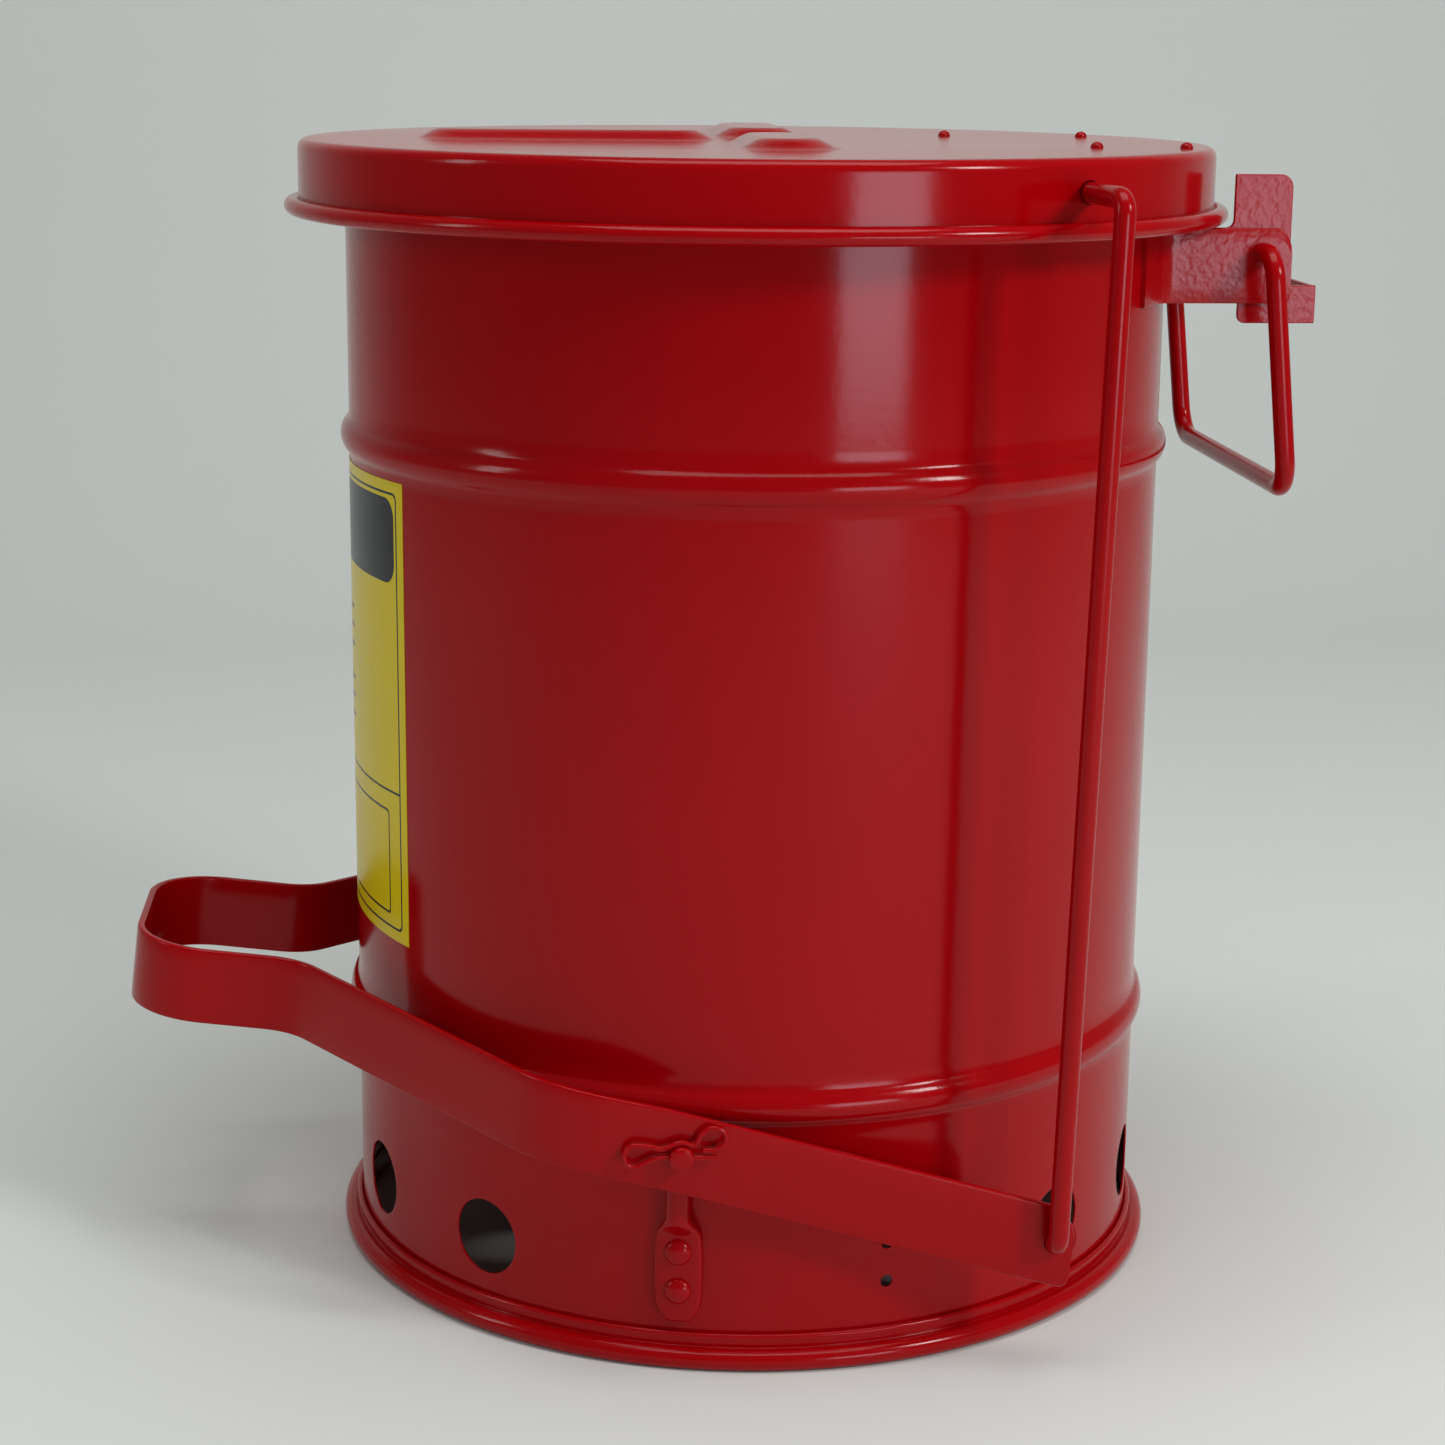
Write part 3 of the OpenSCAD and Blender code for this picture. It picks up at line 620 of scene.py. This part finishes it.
def smooth(x, a, b):
    """0 below a, 1 above b, and 3t^2 - 2t^3 between."""
    t = np.clip((x - a) / (b - a), 0, 1)
    return t * t * (3 - 2 * t)


def forged_stud(side):
    """Rings up the stud: a superellipse |x/a|^n + |y/b|^n = 1 that goes from flat foot (n = 8) to
    round bar (n = 2), then round rings round the bend and out along the pin."""
    sides = 32
    z = np.concatenate([foot_z + np.array([0, 0.15, 0.7, 1.8, 3.5, 6, 9]) * mm,
                        np.linspace(foot_z + 13 * mm, neck_z - 8 * mm, 8),
                        np.linspace(neck_z - 6 * mm, neck_z + 9 * mm, 16),
                        [pivot[2] - 9 * mm]])
    to_round = smooth(z, neck_z - 6 * mm, neck_z + 3.5 * mm)
    to_foot = 1 - to_round
    barrel = 1 - 0.10 * ((z - (foot_z + neck_z) / 2) / (neck_z - foot_z) * 2) ** 2
    below = np.clip((foot_z + 9 * mm - z) / (9 * mm), 0, 1)
    lowest = np.sqrt(np.clip(1 - below ** 2.6, 0.36, 1))
    half_w = (foot_w / 2 * barrel * lowest) * to_foot + stud_r * to_round
    thin = smooth(z, foot_z - 0.1 * mm, foot_z + 1.0 * mm)
    half_t = (foot_t / 2 - 0.7 * mm * (1 - thin)) * to_foot + stud_r * to_round
    power = (8 * to_foot + 2 * to_round)[:, None]
    pin_out = body_r + stud_r + 0.3 * mm
    out = (body_r + foot_t / 2 + 0.02 * mm) * to_foot + pin_out * to_round
    a = np.linspace(0, 2 * np.pi, sides, endpoint=False)
    c, s = np.cos(a)[None], np.sin(a)[None]
    k = (np.abs(c) ** power + np.abs(s) ** power) ** (-1 / power)
    along = half_w[:, None] * k * c
    radial = half_t[:, None] * k * s + out[:, None]
    turn = math.radians(-90 - stud_a)

    def swung(r, t):
        """Turns (outward, along the wall) to where the stud stands on the can."""
        return r * math.cos(turn) - t * math.sin(turn), r * math.sin(turn) + t * math.cos(turn)

    x, y = swung(radial, along)
    rings = [np.stack([x, y, np.broadcast_to(z[:, None], x.shape)], -1)]
    centre_x, centre_y = swung(pin_out, 0)
    px, py = swung(radial[-1] - out[-1], along[-1])
    for b in np.linspace(0.12, 1, 8) * math.pi / 2:
        base = np.array([centre_x, centre_y - pin_bend * (1 - math.cos(b)),
                         pivot[2] - pin_bend + pin_bend * math.sin(b)])
        way = np.array([0, -math.cos(b), math.sin(b)])
        rings.append((base + px[:, None] * np.array([1, 0, 0]) - py[:, None] * way)[None])
    last_ring = rings[-1][0]
    for back, shrink in ((0.8 * mm, 1.0), (0.25 * mm, 0.94), (0.0, 0.82)):
        tip = pivot + (last_ring - pivot) * shrink
        tip[:, 1] = back - stud_end
        rings.append(tip[None])
    rings = np.concatenate(rings)
    rings[..., 1] *= -side
    quads = grid_faces(len(rings), sides).reshape(-1, 4).tolist()
    last = (len(rings) - 1) * sides
    return rings.reshape(-1, 3), quads + [list(range(sides)), list(range(last, last + sides))]


def dome(centre, axis, r, height, lip=0.25 * mm):
    """A rivet head turned about its axis: radius = r cos t, height = lip + (h - lip) sin t, over a
    short straight lip. It runs on a little way into what it is riveted to."""
    t = np.linspace(0, np.pi / 2, 9)
    profile = np.vstack([[0, -0.6 * mm], [r * 0.98, -0.6 * mm], [r, 0], [r, lip],
                         np.stack([r * np.cos(t[1:]), lip + (height - lip) * np.sin(t[1:])], 1)])
    points = revolve(profile, 28).reshape(-1, 3)
    axis = np.asarray(axis, float) / np.linalg.norm(axis)
    u = np.cross(axis, [0.1, 0.2, 1.0]) if abs(axis[2]) < 0.9 else np.array([1.0, 0, 0])
    u = np.cross(axis, np.cross(u, axis))
    u /= np.linalg.norm(u)
    w = np.cross(axis, u)
    placed = points[:, :1] * u + points[:, 1:2] * w + points[:, 2:] * axis + centre
    return placed, grid_faces(len(profile), 28).reshape(-1, 4)


def group(parts):
    """Several meshes as one: their points stacked and their faces counted on."""
    points, faces, total = [], [], 0
    for p, f in parts:
        points.append(p)
        faces += (np.asarray(f) + total).tolist()
        total += len(p)
    return np.vstack(points), faces


def turned(r, angle, z):
    """The point at radius r, an angle in degrees and height z."""
    return np.array([r * math.cos(math.radians(angle)), r * math.sin(math.radians(angle)), z])


for side, label in ((-1, "near"), (1, "far")):
    points, faces = forged_stud(side)
    piece("stud_" + label, points, faces, "can", bar_enamel, ("pivot_stud_" + label,), sharp=60)
    angle = side * (90 + stud_a)
    outward = turned(1, angle, 0)
    heads = [dome(turned(body_r + foot_t, angle, z), outward, 5.3 * mm, 3.1 * mm) for z in rivet_z]
    heads += [dome(turned(inner_r, angle, z), -outward, 5.0 * mm, 1.9 * mm) for z in rivet_z]
    points, faces = group(heads)
    piece("stud_rivet_heads_" + label, points, faces, "can", bar_enamel, ("stud_rivets_" + label,))


# ---------------------------------------------------------------------------------------------
# Hairpin clips: spring wire bent so that one straight leg goes through the stud and the other
# bows over it, with an open eye at each side. They were enamelled in place with the rest.
# ---------------------------------------------------------------------------------------------
def spline(points, steps=7):
    """Catmull-Rom: p = (2b + (c-a)t + (2a-5b+4c-d)t^2 + (3b-a-3c+d)t^3) / 2 between b and c."""
    p = np.vstack([2 * points[0] - points[1], points, 2 * points[-1] - points[-2]])
    t = np.linspace(0, 1, steps, endpoint=False)[None, :, None]
    a, b, c, d = p[:-3, None], p[1:-2, None], p[2:-1, None], p[3:, None]
    curve = (2 * b + (c - a) * t + (2 * a - 5 * b + 4 * c - d) * t ** 2
             + (3 * b - a - 3 * c + d) * t ** 3) / 2
    return np.vstack([curve.reshape(-1, points.shape[1]), points[-1:]])


wire_r = 1.1 * mm
over = stud_r / mm + 1.2
clip_line = np.array([
    [14, -0.5], [8, -0.2], [0, 0], [-9, 0], [-14, -2], [-18.5, -3.5], [-21.5, -1], [-21, 3],
    [-18, 5.2], [-12, 4.6], [-8, 3.6], [-5, over - 1.6], [0, over], [5, over - 1.2],
    [7.5, over + 3], [11.5, over + 5.6], [16, over + 4], [16.8, over], [13, over - 3],
    [8.2, over - 3.4]]) * mm
clip_y = abs(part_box("cotter_clip_near")[0].y) - wire_r
for side, label in ((-1, "near"), (1, "far")):
    line = spline(clip_line)
    route = np.stack([pivot[0] + line[:, 0], np.full(len(line), side * clip_y),
                      pivot[2] + line[:, 1]], 1)
    points, faces = tube(route, wire_r, 12)
    piece("hairpin_" + label, points, faces, "can", bar_enamel, ("cotter_clip_" + label,), sharp=60)


# ---------------------------------------------------------------------------------------------
# Lid: a pressed steel pan with three low ribs in its top, whose skirt hangs well outside the
# can's rim and ends in a rolled bead. A dimple on one side takes the hook of the lift rod.
# ---------------------------------------------------------------------------------------------
lid_wall = 1.0 * mm
emboss_h = 4 * mm
lid_top = lid_high.z - emboss_h
skirt_r = lid_high.x - 6.8 * mm + lid_wall
lid_bead = 3.4 * mm
lid_bead_z = lid_low.z + lid_bead
crown_r = 3 * mm
skirt_in = skirt_r - lid_wall
lid_columns = 360
top_under = lid_top - lid_wall
flat_r = np.linspace(skirt_in - 5 * mm, 3 * mm, 88)
lid_profile = np.vstack([
    arc(skirt_in + lid_bead, lid_bead_z, lid_bead, 500, 182, 30),
    upright(skirt_in, lid_bead_z + 2.2 * mm, top_under - 4.2 * mm, 7),
    arc(skirt_in - crown_r, top_under - crown_r, crown_r, 0, 90, 7),
    np.stack([flat_r, np.full(len(flat_r), top_under)], 1)])


def rib_height(x, y):
    """Sum of three ribs: each is emboss_h times a smooth step of its distance from a line."""
    near, far = 36 * mm, 0.64 * skirt_r
    lines = [((-far, 0.0), (-near, 0.0))]
    lines += [((4 * mm, s * near), (4 * mm, s * (far - 33 * mm))) for s in (-1, 1)]
    rise = np.zeros_like(x)
    for (ax, ay), (bx, by) in lines:
        dx, dy = bx - ax, by - ay
        t = np.clip(((x - ax) * dx + (y - ay) * dy) / (dx * dx + dy * dy), 0, 1)
        away = np.hypot(x - ax - t * dx, y - ay - t * dy)
        rise = np.maximum(rise, 1 - smooth(away, 9.5 * mm, 20 * mm))
    return rise * emboss_h


hole_a = math.degrees(math.atan2(lid_hole[1], lid_hole[0])) % 360
hook_half = bar_r + 0.5 * mm
stretch = 0.82      # the hook meets the round skirt at a slant, so its hole is wider than high
lid_points, lid_faces = pierced(lid_profile, lid_columns, skirt_in,
                                [(hole_a, lid_hole[2], hook_half / stretch, hook_half, 3, 2)])
flat_top = lid_points[:, 2] > top_under - 0.01 * mm
lid_points[:, 2] += np.where(flat_top, rib_height(lid_points[:, 0], lid_points[:, 1]), 0)
middle = len(lid_points)
lid_points = np.vstack([lid_points, [[0, 0, top_under]]])
last_row = (len(lid_profile) - 1) * lid_columns + np.arange(lid_columns)
centre_fan = np.stack([last_row, np.roll(last_row, -1), np.full(lid_columns, middle)], 1)
sheet("lid", lid_points, lid_faces[:, ::-1].tolist() + centre_fan[:, ::-1].tolist(),
      "lid", sheet_enamel, lid_wall, "lid_pan")


# ---------------------------------------------------------------------------------------------
# Moving hinge arm: 2 mm steel nested inside the fixed bracket, with ears up to the lid's top, tails
# down behind the hinge and a tab across them. Four small rivets hold its flange under the lid.
# ---------------------------------------------------------------------------------------------
arm_low, arm_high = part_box("lid_arm")
arm_half = arm_high.y
ear_x0, ear_x1 = hinge[0] - 12 * mm, hinge[0] + 11.3 * mm
neck_x0 = math.sqrt((body_r + 2 * rim_curl + 1 * mm) ** 2 - (arm_half - plate_t) ** 2)
inner_lid_r = skirt_in - 3.5 * mm
neck_x1 = math.sqrt(inner_lid_r ** 2 - arm_half ** 2) - 0.5 * mm
under_bead = lid_bead_z - lid_bead - 0.5 * mm
tail_x = hinge[0] - 9 * mm
tab_x = arm_high.x
tab_h = 15 * mm
flange_z = top_under
arm_outline = np.vstack([
    [[neck_x1, flange_z - 1 * mm], [neck_x0, flange_z - 1 * mm], [neck_x0, under_bead - 9 * mm],
     [tail_x, under_bead - 9 * mm]],
    arc(tail_x + 3 * mm, arm_low.z + 3 * mm, 3 * mm, 180, 270, 5),
    [[tab_x, arm_low.z], [tab_x, arm_low.z + tab_h], [hinge[0] + end_r, arm_low.z + tab_h]],
    arc(hinge[0], hinge[2], end_r, 0, math.degrees(math.acos((ear_x1 - hinge[0]) / end_r)), 5),
    arc(ear_x1 - 5 * mm, hinge[2] + 25.5 * mm, 5 * mm, 0, 90, 8),
    [[ear_x0, hinge[2] + 30.5 * mm]],
    arc(ear_x0 - 3 * mm, under_bead + 3 * mm, 3 * mm, 0, -90, 5),
    [[neck_x1, under_bead]]])
for side, label in ((-1, "near"), (1, "far")):
    y0, y1 = sorted((side * (arm_half - plate_t), side * arm_half))
    plate("arm_side_" + label, arm_outline, y0, y1, "lid", thick_enamel,
          ("lid_arm",) if side < 0 else ())


def slab(name, plan, z0, z1, body, material, edge=0.4 * mm):
    """A flat plate seen from above: its outline in X-Y pushed from z0 to z1."""
    made = plate(name, plan, z0, z1, body, material, edge=edge)
    for corner in made.data.vertices:
        corner.co = (corner.co.x, corner.co.z, corner.co.y)
    made.data.flip_normals()
    return made


flange_x0 = body_r - 92 * mm
within = arm_half - 0.05 * mm
flange_a = math.degrees(math.asin(within / inner_lid_r))
slab("arm_flange", np.vstack([
    [[flange_x0, within], [flange_x0, -within]],
    arc(0, 0, inner_lid_r, -flange_a, flange_a, 13)]),
    flange_z - plate_t, flange_z - 0.03 * mm, "lid", thick_enamel)
slab("arm_tab", np.array([
    [tab_x - plate_t, -within], [tab_x - 0.02 * mm, -within],
    [tab_x - 0.02 * mm, within], [tab_x - plate_t, within]]),
    arm_low.z + 0.05 * mm, arm_low.z + tab_h, "lid", thick_enamel)

rivet_y = arm_half - 8 * mm
rivet_spots = [(body_r - x * mm, s * rivet_y) for x, s in ((39, -1), (3, -1), (80.5, 1), (20.5, 1))]
arm_heads = [dome(np.array([x, y, lid_top]), (0, 0, 1), 2.6 * mm, 2.4 * mm) for x, y in rivet_spots]
arm_heads += [dome(np.array([x, y, flange_z - plate_t]), (0, 0, -1), 3.5 * mm, 1.2 * mm)
              for x, y in rivet_spots]
arm_head_points, arm_head_faces = group(arm_heads)
piece("lid_rivet_heads", arm_head_points, arm_head_faces, "lid", bar_enamel, ("lid_arm_rivets",))


# ---------------------------------------------------------------------------------------------
# Carrying handle: one length of 5/16 inch round bar bent into a bail. Its two turned-in ends are
# the pin that the lid, the bracket and the handle all turn on. At rest it hangs down.
# ---------------------------------------------------------------------------------------------
handle_l = 93 * mm
lean = math.radians(6)
leg_y = bracket_half + 16 * mm
end_y = arm_half - 5 * mm
down = np.array([math.sin(lean), 0, -math.cos(lean)])
bail = [hinge + [0, -end_y, 0], hinge + [0, -leg_y, 0], hinge + [0, -leg_y, 0] + down * handle_l,
        hinge + [0, leg_y, 0] + down * handle_l, hinge + [0, leg_y, 0], hinge + [0, end_y, 0]]
bail_path = rounded_path(bail, (10 * mm, 13 * mm, 13 * mm, 10 * mm))
points, faces = tube(*ended(bail_path, bar_r), 28)
piece("bail", points, faces, "handle", bar_enamel, ("carry_handle",), sharp=60)


# ---------------------------------------------------------------------------------------------
# Foot pedal: one 1 1/4 x 1/8 inch flat bar on edge, bent in plan round both sides of the can and
# across the front as a narrow foot loop. The bar slopes down to the back, where the rod holds it.
# ---------------------------------------------------------------------------------------------
strap_w, strap_t = 31.75 * mm, 3 * mm
strap_y = body_r + 10 * mm + strap_t / 2
side_slope, foot_slope = math.radians(16), math.radians(7)
pedal_x0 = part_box("foot_pedal")[0].x
pedal_back = 116 * mm
bend_x = pivot[0] - 26 * mm
knee = np.array([bend_x, pivot[2] + 26 * mm * math.tan(side_slope)])
loop_w = 108 * mm
foot_mid = np.array([pedal_x0 + loop_w / 2, 0.0])
foot_mid[1] = knee[1] + (bend_x - foot_mid[0]) * math.tan(foot_slope)
foot_up = np.array([math.sin(foot_slope), math.cos(foot_slope)])
foot_on = np.array([math.cos(foot_slope), -math.sin(foot_slope)])


def level(start, end, count, y):
    """Evenly spaced points along X at one y."""
    return np.stack([np.linspace(start, end, count), np.full(count, y)], 1)


def pedal_plan():
    """The bar's centre line from above: straight along the can, out by 50 degrees round the side
    bend (r 55), back round the neck (r 24), then round the loop's front corner (r 30)."""
    flare, side_r, neck_r, corner = math.radians(50), 55 * mm, 24 * mm, 30 * mm
    loop_y = loop_w / 2 - strap_t / 2
    side_c = np.array([bend_x + 7 * mm, -strap_y + side_r])
    side_out = side_c - side_r * np.array([math.sin(flare), math.cos(flare)])
    run = (-loop_y - neck_r * (1 - math.cos(flare)) - side_out[1]) / math.sin(flare)
    neck_in = side_out + run * np.array([-math.cos(flare), math.sin(flare)])
    neck_c = neck_in - neck_r * np.array([math.sin(flare), math.cos(flare)])
    front = pedal_x0 + strap_t / 2
    back = pedal_back - np.array([0, 0.15, 0.5, 1.2, 2.2, 3.5, 5, 7, 9.5, 12]) * mm
    rows = [np.stack([back, np.full(len(back), -strap_y)], 1),
            level(96 * mm, side_c[0] + 8 * mm, 24, -strap_y),
            arc(*side_c, side_r, -90, -140, 16),
            side_out + (neck_in - side_out) * np.linspace(0.06, 0.94, 9)[:, None],
            arc(*neck_c, neck_r, 40, 90, 14),
            level(neck_c[0] - 4 * mm, front + corner + 4 * mm, 5, -loop_y),
            arc(front + corner, -loop_y + corner, corner, -90, -180, 18),
            upright(front, -loop_y + corner + 3 * mm, -1 * mm, 4)]
    half = np.vstack(rows)
    return np.vstack([half, half[::-1] * [1, -1]])


def pedal_bar():
    """At each step of the plan a rounded section o across and w up. A point (x, y) of the plan lies
    in the loop's tilted plane, and rises by the h at which it is w above the bar's side line:
    h = (w - (A - K).n) / (e.n), the smaller (smoothly) of the loop's own and the long side's."""
    plan = pedal_plan()
    tangent = np.gradient(plan, axis=0)
    tangent /= np.linalg.norm(tangent, axis=1, keepdims=True)
    across = np.stack([tangent[:, 1], -tangent[:, 0]], 1)
    edge = 1.0 * mm
    from_end = np.abs(np.minimum(0, plan[:, 0] - pedal_back))
    top_cut, low_cut = [
        r - np.sqrt(np.maximum(r ** 2 - np.maximum(r - from_end, 0) ** 2, 0))
        for r in (12 * mm, 4 * mm)]
    o, which, up = rounded_section(strap_t, edge)
    place = plan[:, None] + o[None, :, None] * across[:, None]
    top = strap_w / 2 - top_cut[:, None]
    low = -strap_w / 2 + low_cut[:, None]
    w = low + edge + (top - low - 2 * edge) * (which + 1) / 2 + up
    x, y = place[..., 0], place[..., 1]
    base_x = foot_mid[0] + (x - foot_mid[0]) * foot_on[0]
    base_z = foot_mid[1] + (x - foot_mid[0]) * foot_on[1]
    lifts = []
    for slope in (foot_slope, side_slope):
        n = np.array([math.sin(slope), math.cos(slope)])
        lifts.append((w - (base_x - knee[0]) * n[0] - (base_z - knee[1]) * n[1]) / (foot_up @ n))
    gap = lifts[0] - lifts[1]
    k = 3.8 * mm
    h = np.minimum(lifts[0], lifts[1]) - np.maximum(k - np.abs(gap), 0) ** 2 / (4 * k)
    world = np.stack([base_x + h * foot_up[0], y, base_z + h * foot_up[1]], -1)
    count = len(o)
    quads = grid_faces(len(plan), count).reshape(-1, 4).tolist()
    last = (len(plan) - 1) * count
    return world.reshape(-1, 3), quads + [list(range(count)), list(range(last, last + count))]


def drill(made, *holes):
    """Cuts round holes along Y: each is (x, z, y from, y to, radius). The cutters are removed."""
    for x, z, y0, y1, r in holes:
        bpy.ops.mesh.primitive_cylinder_add(
            vertices=40, radius=r, depth=y1 - y0,
            location=(x, (y0 + y1) / 2, z), rotation=(math.pi / 2, 0, 0))
        cutter = bpy.context.object
        cut = made.modifiers.new("hole", "BOOLEAN")
        cut.object = cutter
        cut.solver = "EXACT"
        bpy.context.view_layer.update()
        solved = made.evaluated_get(bpy.context.evaluated_depsgraph_get())
        result = bpy.data.meshes.new_from_object(solved)
        made.modifiers.clear()
        made.data = result
        bpy.data.objects.remove(cutter)
    made.data.set_sharp_from_angle(angle=math.radians(40))


rod_foot = np.array([103 * mm, 54 * mm])
near_side, far_side = (-200 * mm, -160 * mm), (160 * mm, 200 * mm)
pedal_points, pedal_faces = pedal_bar()
pedal = piece("pedal_bar", pedal_points, pedal_faces, "pedal", bar_enamel, ("foot_pedal",))
drill(pedal,
      (pivot[0], pivot[2], *near_side, stud_r + 0.12 * mm),
      (pivot[0], pivot[2], *far_side, stud_r + 0.12 * mm),
      (*rod_foot, *near_side, bar_r + 0.25 * mm))


# ---------------------------------------------------------------------------------------------
# Lift rod: the same round bar, straight, with both ends turned in. The lower end goes through the
# pedal's back end and the upper one hooks into the lid's skirt, each with a washer behind it.
# ---------------------------------------------------------------------------------------------
rod_y = 187.3 * mm
pin_in = strap_y - strap_t / 2 - 6 * mm
slant = math.radians(11)            # the short run to the hook leans by this from square
skirt_y = math.sqrt(skirt_r ** 2 - lid_hole[0] ** 2)
reach = rod_y - skirt_y - 6 * mm
span = np.array([lid_hole[0], lid_hole[2]]) - rod_foot
sideways = reach * math.tan(slant)
leg = math.sqrt(span @ span - sideways ** 2)
tilt = math.atan2(span[0], span[1]) + math.atan(sideways / leg)
foot_x, foot_height = rod_foot
rod_corners = [[foot_x, -pin_in, foot_height], [foot_x, -rod_y, foot_height],
               [foot_x + leg * math.sin(tilt), -rod_y, foot_height + leg * math.cos(tilt)],
               [lid_hole[0], -skirt_y - 6 * mm, lid_hole[2]],
               [lid_hole[0], -skirt_y + 13 * mm, lid_hole[2]]]
rod_path = rounded_path(rod_corners, (6 * mm, 6 * mm, 8 * mm))
points, faces = tube(*ended(rod_path, bar_r), 28)
piece("rod", points, faces, "lift_rod", bar_enamel, ("lift_rod",), sharp=60)


def washer(name, x, z, y, outer):
    """A flat washer about Y with eased edges, 1.4 mm thick."""
    ease_at, thick = 0.3 * mm, 1.4 * mm
    profile = np.array([[bar_r, 0], [outer - ease_at, 0], [outer, ease_at],
                        [outer, thick - ease_at], [outer - ease_at, thick], [bar_r, thick]])
    points = revolve(profile, 40).reshape(-1, 3)
    placed = np.stack([x + points[:, 0], y + points[:, 2], z + points[:, 1]], 1)
    faces = grid_faces(len(profile), 40, True).reshape(-1, 4).tolist()
    piece(name, placed, faces, "lift_rod", bar_enamel, (name,))


for name in ("rod_washer_top", "rod_washer_bottom"):
    low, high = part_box(name)
    washer(name, (low.x + high.x) / 2, (low.z + high.z) / 2, low.y, (high.x - low.x) / 2)


# ---------------------------------------------------------------------------------------------
# Studio: a pale floor that sweeps up into a pale wall, and soft light from above and both sides.
# ---------------------------------------------------------------------------------------------
def staged(name, vertices, faces, material):
    """A mesh that is scenery, not part of the can."""
    mesh = bpy.data.meshes.new(name)
    mesh.from_pydata(vertices, [], faces)
    mesh.shade_smooth()
    linked(name, mesh, material)


def softbox(name, at, aim, size, power, colour=(1, 1, 1)):
    """A rectangular area light at one point, turned towards another."""
    light = bpy.data.lights.new(name, "AREA")
    light.shape = "RECTANGLE"
    light.size, light.size_y = size
    light.energy = power
    light.color = colour
    made = bpy.data.objects.new(name, light)
    bpy.context.scene.collection.objects.link(made)
    made.location = at
    way = Vector(aim) - Vector(at)
    made.rotation_euler = way.to_track_quat("-Z", "Y").to_euler()


paper = Paint("paper", Roughness=0.75, Specular_IOR_Level=0.2)
paper.set(paper.shader, {"Base Color": (0.70, 0.73, 0.70, 1)})
sweep = np.vstack([[[-6.0, 0.0], [1.2, 0.0]], arc(1.2, 0.8, 0.8, -90, 0, 24)[1:], [[2.0, 5.0]]])
wide = [(x, y, z) for x in (-6.0, 6.0) for y, z in sweep.tolist()]
rows = len(sweep)
staged("sweep", wide, [[i, i + 1, rows + i + 1, rows + i] for i in range(rows - 1)], paper.material)

world = bpy.data.worlds.new("studio")
bpy.context.scene.world = world
world.use_nodes = True
background = world.node_tree.nodes["Background"]
background.inputs["Color"].default_value = (0.93, 0.96, 0.97, 1)
background.inputs["Strength"].default_value = 0.17
softbox("ceiling_light", (0.0, -0.5, 3.0), (0, 0, 0.2), (2.4, 1.6), 46)
softbox("key_light", (1.5, -1.3, 1.4), (0, 0, 0.25), (0.35, 0.5), 20)
softbox("fill_light", (0.95, -2.0, 0.34), (0.1, 0, 0.4), (0.7, 0.5), 9, (0.80, 0.86, 1.0))
softbox("window_light", (-2.0, -0.4, 1.0), (0, 0, 0.25), (0.3, 0.8), 5)
bpy.context.scene.view_settings.view_transform = "Standard"     # keeps the red as deep as it is

yaw, pitch, roll = math.radians(5.14), math.radians(13.36), math.radians(0.6)
lens = bpy.data.cameras.new("camera")
lens.lens = 72.63
lens.sensor_width = 36
camera = bpy.data.objects.new("camera", lens)
bpy.context.scene.collection.objects.link(camera)
ahead = Vector((math.sin(yaw) * math.cos(pitch), math.cos(yaw) * math.cos(pitch),
                -math.sin(pitch)))
camera.location = (-120.5 * mm, -1212.5 * mm, 507.6 * mm)
camera.rotation_euler = (ahead.to_track_quat("-Z", "Y").to_matrix()
                         @ Matrix.Rotation(roll, 3, "Z")).to_euler()
bpy.context.scene.camera = camera
